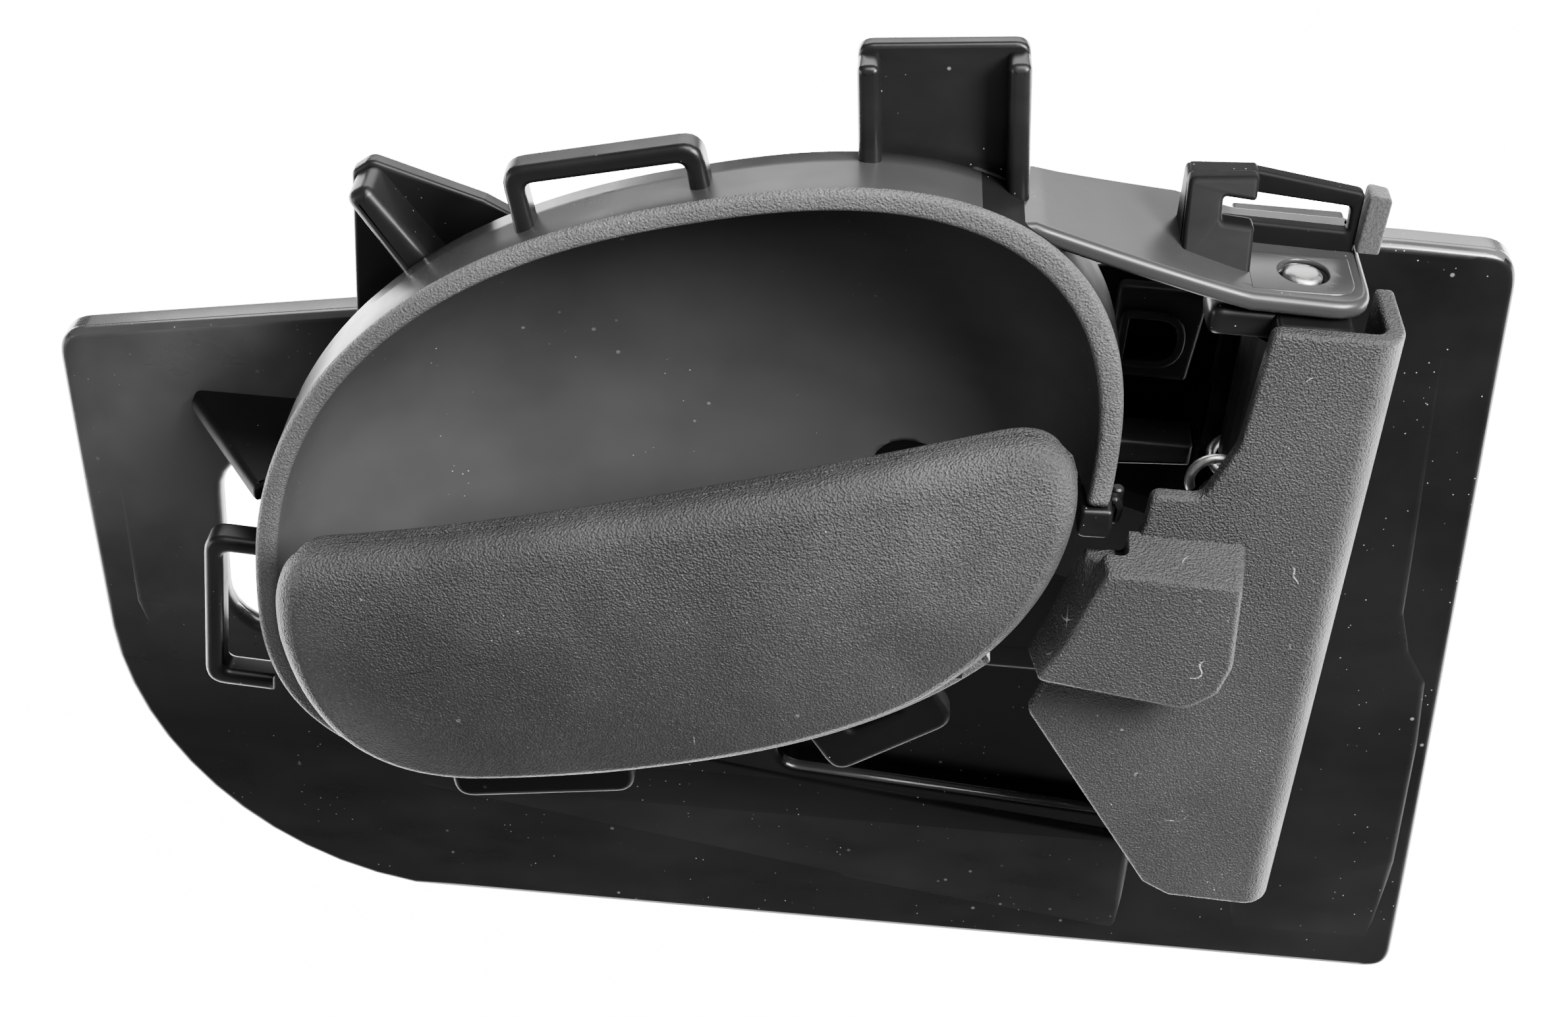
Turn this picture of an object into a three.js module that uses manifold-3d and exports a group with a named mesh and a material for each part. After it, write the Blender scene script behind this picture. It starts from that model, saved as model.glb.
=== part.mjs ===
// Inner door handle of a car: a moulded housing with a finger cup, a pull lever and a lock lever
// that turn on one steel pin, and the springs, bushes and clips that go with them.
// Sizes are in millimetres. +X is to the right, -Y faces the occupant and +Z is up, along the pin.
// Y = 0 is the rear face of the seat pad, which lies on the door.

import * as THREE from "three";
import { mergeVertices } from "three/addons/utils/BufferGeometryUtils.js";
import Module from "manifold-3d";

const wasm = await Module();
wasm.setup();

// ---------------------------------------------------------------- driving dimensions

const fitGap = 0.3; // left between two pieces that touch or slide

const plate = {
  leftX: -84.8,
  leftTopZ: 28.5,
  leftFootX: -82.1,
  leftFootZ: -13.5,
  bottomZ: -53,
  bottomStartX: -44.6,
  rightX: 85.6,
  topRightX: 77.4,
  topZ: 55,
  topStepX: 61,
  cornerRadius: 4,
  faceY: -6,
  borderRearY: -1.8,
  wall: 2.5,
  borderWidth: 2,
};

const plateSlot = { x: -61, z: 1.2, width: 12, length: 26 };
const plateWindow = { leftX: 38.5, rightX: 63, bottomZ: -3, topZ: 12 };
const seatPad = { radius: 9 };
const behindPlateY = 1; // a plane behind everything the plate's cuts go through
const platePocket = { leftX: 2, rightX: 42, bottomZ: -27, topZ: -8, depth: 3 };
const platePanel = { leftX: -40, rightX: 50, bottomZ: -50.5, topZ: -29, rise: 0.8 };

const cup = {
  centreX: -11.5,
  centreZ: 25.3,
  halfWidth: 45.7,
  riseAbove: 40,
  riseBelow: 33,
  slope: 0.279,
  squareness: 2.4,
  frontY: -30,
  skirtDepth: 8.5,
  lip: 2.4,
  wall: 2,
  depth: 21,
  bowlFullness: 2.5,
};
const cupSegments = 72;
const bowlSteps = 9;
const fixingHole = { x: 12, z: 24, radius: 3.7 };
const armGapReach = { wall: 17.3, rim: 6.2 };
const armGap = {
  leftX: cup.centreX + cup.halfWidth - armGapReach.wall,
  bottomZ: 12,
  topZ: 26,
  rimLeftX: cup.centreX + cup.halfWidth - armGapReach.rim,
  rimTopZ: 34.2,
};

const pivot = { x: 50.4, y: -23, pinRadius: 2 };
const pinTopRise = 0.2;
const pinTailLength = 3.4;

const lug = {
  startAngle: 40.2,
  startRise: 1.3,
  startRearY: -14.7,
  flatX: 45,
  endX: 57,
  topZ: 59.8,
  thickness: 2,
  frontY: -28.5,
  rearY: -9.5,
  cornerRadius: 4,
  footZ: 47,
};

const lowerBracket = { leftX: 44, rightX: 57, topZ: -12.4, thickness: 3.6, frontY: -28.5 };
const gussetWidth = 2.4;

const leverArm = { bottomZ: 13, topZ: 25, thickness: 3.2 };
const leverHub = { radius: 4.8, lowZ: -7.3, springLowZ: 29.5, springTopZ: 37.5, topZ: 53.6 };
const leverWeb = { offset: 8.2, thickness: 2.2, halfWidth: 5.2 };
const leverCrank = { length: 26, width: 8, restAngle: 15, lowZ: 2.5, thickness: 4, swivelRadius: 3 };

const bush = { wall: 1.2, length: 6 };

const grip = { frontY: -41.5, splitY: -36.6, rearY: -33.6, edgeRadius: 2.2 };

const lockSheet = {
  frontY: -31.5,
  thickness: 2,
  topZ: 57.4,
  stemLeftX: 46.9,
  stemShoulderZ: 40.4,
  ledgeLeftX: 38,
  ledgeZ: 37.3,
  wideTopX: 37,
  wideTopZ: 29,
  wideLeftX: 28.9,
  wideZ: 6.6,
  bottomLeftX: 46.8,
  bottomZ: -19.3,
  sideX: 60.6,
  sideRearY: -20,
  foldRadius: 3.4,
};
const lockKnuckle = { radius: 4.6, lowZ: -12, thickness: 3.4, width: 7 };
const lockEar = {
  topZ: 57.4,
  thickness: 3.4,
  leftReach: 9.6,
  rightReach: 5.2,
  frontReach: 4.3,
  rearReach: 3.2,
};
const lockCrank = { length: 11.5, width: 6, swivelRadius: 2.4 };

const lockPad = {
  frontY: -37.3,
  rearY: -29.6,
  topZ: 30.8,
  topLeftX: 34.2,
  rightX: 49.2,
  chamferX: 45.2,
  chamferZ: 12.9,
  bottomLeftX: 27.6,
  bottomLeftZ: 15.4,
  edge: 0.7,
};

const spring = { coilRadius: 5.5, wireRadius: 0.6, turns: 5, legLength: 14, sides: 6 };

const tab = { angle: 60.9, sink: 6.4, height: 18.8, width: 17, lean: 6, y: -20.6, wall: 2 };
const tabRib = { width: 2.4, depth: 3.4 };

const clipBox = { leftX: 37.6, rightX: 56.2, height: 8.4, y: -17.8, wall: 2.4 };
const clipBlock = { width: 7, footFrontY: -24.6, topFrontY: -19.6 };
const clipSlot = { leftX: 41.8, rightX: 55, lowRise: 3, height: 2.4 };
const clipPad = { width: 2.4, height: 7, depth: 3 };

const loop = { rise: 6, bar: 2.2, depth: 4.4, cornerRadius: 2.2, backFromRim: 3 };
// Each loop stands on the cup's outline at an angle, with its own lean and stand-off.
const loops = [
  { name: "trim_loop_top", angle: 97.5, outward: 104, standOff: 5.5, span: 20.5 },
  { name: "trim_loop_left", angle: -172.6, outward: 177, standOff: 7.1, span: 21 },
  { name: "trim_loop_bottom", angle: -104.5, outward: -81, standOff: 6.0, span: 21.5 },
  { name: "trim_loop_corner", angle: -64.4, outward: -55, standOff: 7.0, span: 16 },
];

const endClip = { height: 2.7, outReach: 0.4, inReach: 3.4 };
const handleBumper = { x: 27.5, z: 22.4, radius: 3.2, height: 3 };
const lockBumper = { lowZ: 14.5, highZ: 20.5, width: 3.6 };
const detent = { leafThickness: 0.6, leafHeight: 2.6, standOff: 2.4, footWidth: 3, bendDepth: 8 };
const rodClip = { height: 4.8, halfWidth: 2.9, rodRadius: 1.4 };
const anchorClip = { leftX: 70, rightX: 76, halfHeight: 6, seatRadius: 2.6, mouth: 1.9, lipReach: 5 };

const bracket = {
  leftX: -48,
  footZ: 38,
  elbowX: -38,
  elbowZ: 46,
  rightX: -30,
  rightZ: 55,
  slopeX: -34,
  slopeZ: 56,
  apexX: -46,
  apexZ: 59.6,
  apexLeftZ: 58.6,
  rearY: -13.6,
  wall: 2.2,
};
const bracketRib = { depth: 6, endX: -36, endZ: 48, reach: 4 };

const gusset = {
  rearX: -69.2,
  rearRise: 1.4,
  frontX: -58,
  frontY: -24.5,
  innerX: -46,
  lowZ: 20.6,
  highZ: 22.8,
};

// ---------------------------------------------------------------- solids from geometry

function signedVolume(position, index) {
  const a = new THREE.Vector3();
  const b = new THREE.Vector3();
  const c = new THREE.Vector3();
  let total = 0;
  for (let i = 0; i < index.length; i += 3) {
    a.fromBufferAttribute(position, index[i]);
    b.fromBufferAttribute(position, index[i + 1]);
    c.fromBufferAttribute(position, index[i + 2]);
    total += a.dot(b.cross(c)) / 6;
  }
  return total;
}

function solidOf(source) {
  const geometry = source.clone();
  geometry.deleteAttribute("normal");
  geometry.deleteAttribute("uv");
  const merged = mergeVertices(geometry, 1e-4);
  const corners = merged.index.array;
  const kept = [];
  for (let i = 0; i < corners.length; i += 3) {
    const [a, b, c] = [corners[i], corners[i + 1], corners[i + 2]];
    if (a !== b && b !== c && c !== a) {
      kept.push(a, b, c);
    }
  }
  if (signedVolume(merged.attributes.position, kept) < 0) {
    kept.reverse();
  }
  const vertProperties = new Float32Array(merged.attributes.position.array);
  const mesh = new wasm.Mesh({ numProp: 3, vertProperties, triVerts: new Uint32Array(kept) });
  return new wasm.Manifold(mesh);
}

function joined(...solids) {
  return solids.reduce((whole, piece) => whole.add(piece));
}

function meshOf(name, solid, material) {
  const data = solid.getMesh();
  const geometry = new THREE.BufferGeometry();
  geometry.setAttribute("position", new THREE.Float32BufferAttribute(data.vertProperties, 3));
  geometry.setIndex(Array.from(data.triVerts));
  geometry.computeVertexNormals();
  const mesh = new THREE.Mesh(geometry, material.clone());
  mesh.name = name;
  return mesh;
}

// An outline in X and Z, made into a slab between two planes of Y.
function slabY(shape, nearY, farY, curveSegments = 8) {
  const geometry = new THREE.ExtrudeGeometry(shape, {
    depth: farY - nearY,
    bevelEnabled: false,
    curveSegments,
  });
  geometry.rotateX(Math.PI / 2);
  geometry.translate(0, farY, 0);
  return solidOf(geometry);
}

// The same with rounded edges: edge is the radius, and the slab keeps its outline and thickness.
function roundedSlabY(shape, nearY, farY, edge, curveSegments = 8) {
  const geometry = new THREE.ExtrudeGeometry(shape, {
    depth: farY - nearY - 2 * edge,
    bevelThickness: edge,
    bevelSize: edge,
    bevelOffset: -edge,
    bevelSegments: 3,
    curveSegments,
  });
  geometry.rotateX(Math.PI / 2);
  geometry.translate(0, farY - edge, 0);
  return solidOf(geometry);
}

// An outline in X and Y, made into a slab between two planes of Z.
function slabZ(shape, lowZ, highZ, curveSegments = 8) {
  const geometry = new THREE.ExtrudeGeometry(shape, {
    depth: highZ - lowZ,
    bevelEnabled: false,
    curveSegments,
  });
  geometry.translate(0, 0, lowZ);
  return solidOf(geometry);
}

// An outline in Y and Z, made into a slab between two planes of X.
function slabX(shape, lowX, highX) {
  const geometry = new THREE.ExtrudeGeometry(shape, { depth: highX - lowX, bevelEnabled: false });
  geometry.rotateX(Math.PI / 2);
  geometry.rotateZ(Math.PI / 2);
  geometry.translate(lowX, 0, 0);
  return solidOf(geometry);
}

function block(lowX, highX, lowY, highY, lowZ, highZ) {
  const geometry = new THREE.BoxGeometry(highX - lowX, highY - lowY, highZ - lowZ);
  geometry.translate((lowX + highX) / 2, (lowY + highY) / 2, (lowZ + highZ) / 2);
  return solidOf(geometry);
}

function rodZ(x, y, radius, lowZ, highZ, segments = 24) {
  const geometry = new THREE.CylinderGeometry(radius, radius, highZ - lowZ, segments);
  geometry.rotateX(Math.PI / 2);
  geometry.translate(x, y, (lowZ + highZ) / 2);
  return solidOf(geometry);
}

function rodY(x, z, radius, lowY, highY, segments = 24) {
  const geometry = new THREE.CylinderGeometry(radius, radius, highY - lowY, segments);
  geometry.translate(x, (lowY + highY) / 2, z);
  return solidOf(geometry);
}

function wireAlong(curve, radius, steps, sides) {
  const section = new THREE.Shape();
  section.absarc(0, 0, radius, 0, 2 * Math.PI);
  const geometry = new THREE.ExtrudeGeometry(section, {
    steps,
    extrudePath: curve,
    curveSegments: sides,
    bevelEnabled: false,
  });
  return solidOf(geometry);
}

function outline(points) {
  return new THREE.Shape(points.map(([x, y]) => new THREE.Vector2(x, y)));
}

// A closed outline whose corners are rounded: each point is [x, y, radius].
function roundedOutline(points) {
  const shape = new THREE.Shape();
  const corners = points.map(([x, y]) => new THREE.Vector2(x, y));
  corners.forEach((corner, i) => {
    const before = corners[(i + corners.length - 1) % corners.length];
    const after = corners[(i + 1) % corners.length];
    const radius = points[i][2] ?? 0;
    const toBefore = before.clone().sub(corner).normalize();
    const toAfter = after.clone().sub(corner).normalize();
    const halfAngle = Math.acos(THREE.MathUtils.clamp(toBefore.dot(toAfter), -1, 1)) / 2;
    const wanted = radius / Math.tan(halfAngle);
    const room = 0.45 * Math.min(before.distanceTo(corner), after.distanceTo(corner));
    const reach = Math.min(wanted, room);
    const start = corner.clone().addScaledVector(toBefore, reach);
    const end = corner.clone().addScaledVector(toAfter, reach);
    if (i === 0) {
      shape.moveTo(start.x, start.y);
    } else {
      shape.lineTo(start.x, start.y);
    }
    if (radius > 0) {
      shape.quadraticCurveTo(corner.x, corner.y, end.x, end.y);
    }
  });
  shape.closePath();
  return shape;
}

// The outline moved inward by a distance, corner by corner.
function insetOutline(shape, distance, curveSegments = 8) {
  const points = shape.getPoints(curveSegments);
  if (points[0].distanceTo(points[points.length - 1]) < 1e-6) {
    points.pop();
  }
  const side = THREE.ShapeUtils.area(points) > 0 ? 1 : -1;
  const moved = points.map((point, i) => {
    const before = points[(i + points.length - 1) % points.length];
    const after = points[(i + 1) % points.length];
    const first = point.clone().sub(before).normalize();
    const second = after.clone().sub(point).normalize();
    const normal = new THREE.Vector2(-(first.y + second.y), first.x + second.x).normalize();
    const spread = Math.max(normal.dot(new THREE.Vector2(-first.y, first.x)), 0.5);
    return point.clone().addScaledVector(normal, (side * distance) / spread);
  });
  return new THREE.Shape(moved);
}

// ---------------------------------------------------------------- materials

function plastic(colour, roughness) {
  return new THREE.MeshStandardMaterial({ color: colour, roughness, metalness: 0 });
}

function metal(colour, roughness) {
  return new THREE.MeshStandardMaterial({ color: colour, roughness, metalness: 1 });
}

const glossBlack = plastic(0x141415, 0.3);
const grainBlack = plastic(0x2b2c2d, 0.62);
const naturalPlastic = plastic(0xb9b7ae, 0.5);
const rubber = plastic(0x101010, 0.85);
const felt = plastic(0x1d1d1e, 0.95);
const pinSteel = metal(0xc9c9c6, 0.35);
const springSteel = metal(0x9b9b98, 0.4);

// ---------------------------------------------------------------- the plate

function plateOutline() {
  const shape = new THREE.Shape();
  const radius = plate.cornerRadius;
  shape.moveTo(plate.leftX + 0.06 * radius, plate.leftTopZ - radius);
  shape.lineTo(plate.leftFootX, plate.leftFootZ);
  const fallZ = plate.leftFootZ - plate.bottomZ;
  const runX = plate.bottomStartX - plate.leftFootX;
  shape.bezierCurveTo(
    plate.leftFootX + 0.04 * runX,
    plate.leftFootZ - 0.45 * fallZ,
    plate.leftFootX + 0.43 * runX,
    plate.bottomZ + 0.08 * fallZ,
    plate.bottomStartX,
    plate.bottomZ,
  );
  shape.lineTo(plate.rightX - radius, plate.bottomZ);
  shape.quadraticCurveTo(plate.rightX, plate.bottomZ, plate.rightX - 0.3, plate.bottomZ + radius);
  shape.lineTo(plate.topRightX, plate.topZ - radius);
  shape.quadraticCurveTo(plate.topRightX - 0.3, plate.topZ, plate.topRightX - radius, plate.topZ);
  shape.lineTo(plate.topStepX, plate.topZ);
  shape.lineTo(plate.leftX + radius, plate.leftTopZ + 0.2 * radius);
  shape.quadraticCurveTo(plate.leftX, plate.leftTopZ, plate.leftX + 0.06 * radius, plate.leftTopZ - radius);
  return shape;
}

function backPlate() {
  const border = plateOutline();
  const rearFace = plate.faceY + plate.wall;
  const slotRound = plateSlot.width / 2;
  const slotReach = plateSlot.length / 2 - slotRound;
  const through = 2 * plate.wall;
  const nearY = plate.faceY - through;
  const window = roundedOutline([
    [plateWindow.leftX, plateWindow.bottomZ, 2],
    [plateWindow.rightX, plateWindow.bottomZ, 2],
    [plateWindow.rightX, plateWindow.topZ, 2],
    [plateWindow.leftX, plateWindow.topZ, 2],
  ]);
  const pocket = roundedOutline([
    [platePocket.leftX, platePocket.bottomZ, 3],
    [platePocket.rightX, platePocket.bottomZ - 3, 3],
    [platePocket.rightX, platePocket.topZ, 3],
    [platePocket.leftX, platePocket.topZ, 3],
  ]);
  const panel = roundedOutline([
    [platePanel.leftX, platePanel.bottomZ, 4],
    [platePanel.rightX, platePanel.bottomZ, 4],
    [platePanel.rightX, platePanel.topZ - 3, 3],
    [platePanel.leftX, platePanel.topZ, 3],
  ]);
  const pocketFloorY = plate.faceY + platePocket.depth;
  const body = slabY(border, plate.faceY, plate.borderRearY).subtract(
    slabY(insetOutline(border, plate.borderWidth), rearFace, behindPlateY),
  );
  const pocketWall = slabY(insetOutline(pocket, -plate.borderWidth), rearFace, plate.borderRearY);
  const seat = rodY(0, 0, seatPad.radius, rearFace - 1, 0, 32);
  return joined(body, pocketWall, seat, slabY(panel, plate.faceY - platePanel.rise, rearFace))
    .subtract(slabY(pocket, nearY, pocketFloorY))
    .subtract(slabY(window, nearY, behindPlateY))
    .subtract(rodY(plateSlot.x, plateSlot.z + slotReach, slotRound, nearY, behindPlateY))
    .subtract(rodY(plateSlot.x, plateSlot.z - slotReach, slotRound, nearY, behindPlateY))
    .subtract(
      block(
        plateSlot.x - slotRound,
        plateSlot.x + slotRound,
        nearY,
        behindPlateY,
        plateSlot.z - slotReach,
        plateSlot.z + slotReach,
      ),
    );
}

// ---------------------------------------------------------------- the finger cup

// A point of the cup's outline. Fraction is 1 on the outline and 0 at the centre, and inset moves
// the outline inward.
function cupPoint(angle, fraction, inset) {
  const c = Math.cos(angle);
  const s = Math.sin(angle);
  const power = 2 / cup.squareness;
  const rise = (s > 0 ? cup.riseAbove : cup.riseBelow) - inset;
  const across = Math.sign(c) * Math.abs(c) ** power * (cup.halfWidth - inset);
  const up = Math.sign(s) * Math.abs(s) ** power * rise;
  return [cup.centreX + fraction * across, cup.centreZ + fraction * (up + cup.slope * across)];
}

// A turned profile of [fraction, Y], stretched to the cup's outline.
function cupSolid(profile, inset) {
  const points = profile.map(([fraction, y]) => new THREE.Vector2(fraction, y));
  const geometry = new THREE.LatheGeometry(points, cupSegments);
  const position = geometry.attributes.position;
  for (let i = 0; i < position.count; i += 1) {
    const fraction = Math.hypot(position.getX(i), position.getZ(i));
    const angle = Math.atan2(position.getZ(i), position.getX(i));
    const [x, z] = cupPoint(angle, fraction, inset);
    position.setXYZ(i, x, position.getY(i), z);
  }
  return solidOf(geometry);
}

function bowlProfile(frontY, depth) {
  const power = 2 / cup.bowlFullness;
  const points = [[0, frontY]];
  for (let i = 0; i <= bowlSteps; i += 1) {
    const angle = (i / bowlSteps) * (Math.PI / 2);
    const fraction = i === bowlSteps ? 0 : Math.cos(angle) ** power;
    points.push([fraction, frontY + depth * Math.sin(angle) ** power]);
  }
  return points;
}

// The cup's outside, grown by a gap: what its neighbours are cut back to.
function cupOutside(gap) {
  const skirtRearY = cup.frontY + cup.skirtDepth + gap;
  const rounding = 0.7;
  const skirt = cupSolid(
    [
      [0, cup.frontY - gap],
      [1 - rounding / cup.halfWidth, cup.frontY - gap],
      [1, cup.frontY - gap + rounding],
      [1, skirtRearY],
      [0, skirtRearY],
    ],
    -gap,
  );
  const domeFrontY = cup.frontY + 0.5;
  const domeDepth = cup.depth + cup.wall + gap - 0.5;
  const dome = cupSolid(bowlProfile(domeFrontY, domeDepth), cup.lip - cup.wall - gap);
  return skirt.add(dome);
}

function fingerCup() {
  const mouth = cup.frontY - 1;
  const bowl = cupSolid(bowlProfile(cup.frontY, cup.depth), cup.lip);
  const opening = cupSolid([[0, mouth], [1, mouth], [1, cup.frontY + 0.1], [0, cup.frontY + 0.1]], cup.lip);
  const rightX = cup.centreX + cup.halfWidth + 2;
  return cupOutside(0)
    .subtract(bowl)
    .subtract(opening)
    .subtract(rodY(fixingHole.x, fixingHole.z, fixingHole.radius, mouth, 0, 20))
    .subtract(block(armGap.leftX, rightX, mouth, 0, armGap.bottomZ, armGap.topZ))
    .subtract(block(armGap.rimLeftX, rightX, mouth, 0, armGap.bottomZ, armGap.rimTopZ));
}

// ---------------------------------------------------------------- what stands on the cup

function trimLoop({ angle, outward, standOff, span }) {
  const [footX, footZ] = cupPoint(THREE.MathUtils.degToRad(angle), 1, 0);
  const lean = THREE.MathUtils.degToRad(outward);
  const x = footX + standOff * Math.cos(lean);
  const z = footZ + standOff * Math.sin(lean);
  const half = span / 2;
  const frontY = cup.frontY + loop.backFromRim;
  const frame = roundedOutline([
    [-half, -2 * loop.rise, 0],
    [half, -2 * loop.rise, 0],
    [half, 0, loop.cornerRadius],
    [-half, 0, loop.cornerRadius],
  ]);
  const hole = roundedOutline([
    [-half + loop.bar, -3 * loop.rise, 0],
    [half - loop.bar, -3 * loop.rise, 0],
    [half - loop.bar, -loop.bar, 0.8],
    [-half + loop.bar, -loop.bar, 0.8],
  ]);
  const whole = slabY(frame, frontY, frontY + loop.depth, 4);
  const strap = whole.subtract(slabY(hole, frontY - 1, frontY + loop.depth + 1, 4));
  const placed = strap.rotate([0, 90 - outward, 0]).translate([x, 0, z]);
  return largestBody(placed.subtract(cupOutside(fitGap)));
}

function topTab() {
  const [x, rimZ] = cupPoint(THREE.MathUtils.degToRad(tab.angle), 1, 0);
  const half = tab.width / 2;
  const face = roundedOutline([
    [-half, 0, 0],
    [half, 0, 0],
    [half, tab.height, 1.4],
    [-half, tab.height, 1.4],
  ]);
  const rib = (side) => {
    const inner = side * (half - tabRib.width);
    const outer = side * half;
    const lowX = Math.min(inner, outer);
    const highX = Math.max(inner, outer);
    return block(lowX, highX, tab.y - tabRib.depth, tab.y, 0, tab.height - 1.6);
  };
  return joined(slabY(face, tab.y, tab.y + tab.wall, 4), rib(-1), rib(1))
    .rotate([0, -tab.lean, 0])
    .translate([x, 0, rimZ - tab.sink])
    .subtract(cupOutside(fitGap));
}

function largestBody(solid) {
  return solid.decompose().reduce((best, piece) => (piece.volume() > best.volume() ? piece : best));
}

function cornerBracket() {
  const frontY = bracket.rearY - bracket.wall;
  const web = outline([
    [bracket.leftX, bracket.footZ],
    [bracket.elbowX, bracket.elbowZ],
    [bracket.rightX, bracket.rightZ],
    [bracket.slopeX, bracket.slopeZ],
    [bracket.apexX, bracket.apexZ],
    [bracket.leftX, bracket.apexLeftZ],
  ]);
  const rib = outline([
    [bracket.leftX, bracket.apexLeftZ],
    [bracket.apexX, bracket.apexZ],
    [bracketRib.endX, bracketRib.endZ],
    [bracketRib.endX - bracketRib.reach, bracketRib.endZ - bracketRib.reach],
  ]);
  const whole = slabY(web, frontY, bracket.rearY).add(slabY(rib, frontY - bracketRib.depth, bracket.rearY));
  return largestBody(whole.subtract(cupOutside(fitGap)));
}

function sideGusset() {
  const rearY = plate.faceY - fitGap;
  const web = outline([
    [gusset.rearX, rearY],
    [gusset.rearX, rearY - gusset.rearRise],
    [gusset.frontX, gusset.frontY],
    [gusset.innerX, gusset.frontY],
    [gusset.innerX, rearY],
  ]);
  return largestBody(slabZ(web, gusset.lowZ, gusset.highZ).subtract(cupOutside(fitGap)));
}

// ---------------------------------------------------------------- the pin's lugs

function pinHole(lowZ, highZ) {
  return rodZ(pivot.x, pivot.y, pivot.pinRadius + fitGap, lowZ, highZ);
}

// Where the lug leaves the cup: a point a little above the cup's outline.
function lugStart() {
  const [x, z] = cupPoint(THREE.MathUtils.degToRad(lug.startAngle), 1, 0);
  return { startX: x, startZ: z + lug.startRise };
}

function upperLug() {
  const { startX, startZ } = lugStart();
  const underZ = lug.topZ - lug.thickness;
  const strap = outline([
    [startX, startZ - lug.thickness],
    [lug.flatX, underZ],
    [lug.endX, underZ],
    [lug.endX, lug.topZ],
    [lug.flatX, lug.topZ],
    [startX, startZ],
  ]);
  const plan = roundedOutline([
    [startX, lug.frontY, 0],
    [lug.endX, lug.frontY, lug.cornerRadius],
    [lug.endX, lug.rearY, 0],
    [lug.flatX, lug.rearY, 0],
    [startX, lug.startRearY, 0],
  ]);
  const foot = block(
    lug.flatX,
    lug.endX,
    lug.rearY,
    plate.faceY - fitGap,
    lug.footZ,
    lug.topZ,
  );
  return slabY(strap, lug.frontY, lug.rearY)
    .intersect(slabZ(plan, lug.footZ, startZ + 1))
    .add(foot)
    .subtract(cupOutside(fitGap))
    .subtract(pinHole(underZ - 1, lug.topZ + 1));
}

function lowerPivotBracket() {
  const lowZ = lowerBracket.topZ - lowerBracket.thickness;
  const rearY = plate.faceY - fitGap;
  const plan = roundedOutline([
    [lowerBracket.leftX, rearY, 0],
    [lowerBracket.leftX, lowerBracket.frontY, 4],
    [lowerBracket.rightX, lowerBracket.frontY, 4],
    [lowerBracket.rightX, rearY, 0],
  ]);
  const gussetReach = (lowerBracket.frontY - rearY) * 0.7;
  const gussetFall = 12;
  const side = outline([
    [rearY, lowZ + 1],
    [rearY + gussetReach, lowZ + 1],
    [rearY, lowZ - gussetFall],
  ]);
  return joined(
    slabZ(plan, lowZ, lowerBracket.topZ),
    slabX(side, lowerBracket.leftX, lowerBracket.leftX + gussetWidth),
    slabX(side, lowerBracket.rightX - gussetWidth, lowerBracket.rightX),
  ).subtract(pinHole(lowZ - 1, lowerBracket.topZ + 1));
}

function slottedClipBox() {
  const lowZ = lug.topZ + fitGap;
  const topZ = lowZ + clipBox.height;
  const rearY = clipBox.y + clipBox.wall;
  const cornerFall = 0.6;
  const endFall = 1.6;
  const blockRightX = clipBox.leftX + clipBlock.width;
  const face = outline([
    [clipBox.leftX, lowZ],
    [clipBox.rightX, lowZ],
    [clipBox.rightX, topZ - endFall],
    [blockRightX, topZ],
    [clipBox.leftX, topZ - cornerFall],
  ]);
  const blockSide = outline([
    [clipBlock.footFrontY, lowZ],
    [rearY, lowZ],
    [rearY, topZ - cornerFall],
    [clipBlock.topFrontY, topZ - cornerFall],
  ]);
  const slotLowZ = lowZ + clipSlot.lowRise;
  const slot = block(
    clipSlot.leftX,
    clipSlot.rightX,
    clipBlock.footFrontY - 1,
    rearY + 1,
    slotLowZ,
    slotLowZ + clipSlot.height,
  );
  return slabY(face, clipBox.y, rearY)
    .add(slabX(blockSide, clipBox.leftX, blockRightX))
    .subtract(slot)
    .subtract(upperLugSpace());
}

// The sloped stretch of the upper lug, which the clip box stands over.
function upperLugSpace() {
  const { startX, startZ } = lugStart();
  const underZ = lug.topZ - lug.thickness;
  const slope = outline([
    [startX, underZ],
    [lug.endX, underZ],
    [lug.endX, lug.topZ + fitGap],
    [lug.flatX, lug.topZ + fitGap],
    [startX, startZ + fitGap],
  ]);
  return slabY(slope, lug.frontY, lug.rearY);
}

function clipBoxPad() {
  const lowX = clipBox.rightX + fitGap;
  const lowZ = lug.topZ + fitGap;
  const frontY = clipBox.y - clipPad.depth + clipBox.wall;
  return block(lowX, lowX + clipPad.width, frontY, clipBox.y + clipBox.wall, lowZ, lowZ + clipPad.height);
}

function rimEndClip() {
  const { height, outReach, inReach } = endClip;
  const rimX = cup.centreX + cup.halfWidth;
  const topZ = armGap.rimTopZ - fitGap;
  const rearY = cup.frontY + cup.skirtDepth;
  return block(rimX - inReach, rimX + outReach, cup.frontY - fitGap, rearY, topZ - height, topZ);
}

// ---------------------------------------------------------------- pin, bushes and rings

const lowerBracketUnderZ = lowerBracket.topZ - lowerBracket.thickness;
const pinLowZ = lowerBracketUnderZ - pinTailLength;

function pivotPin() {
  const groove = 0.4;
  const ringLowZ = lowerBracketUnderZ - fitGap - 1 - fitGap;
  const neck = rodZ(pivot.x, pivot.y, pivot.pinRadius + 1, ringLowZ, ringLowZ + 1 + fitGap).subtract(
    rodZ(pivot.x, pivot.y, pivot.pinRadius - groove, ringLowZ - 1, ringLowZ + 3),
  );
  return rodZ(pivot.x, pivot.y, pivot.pinRadius, pinLowZ, lug.topZ + pinTopRise).subtract(neck);
}

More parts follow.
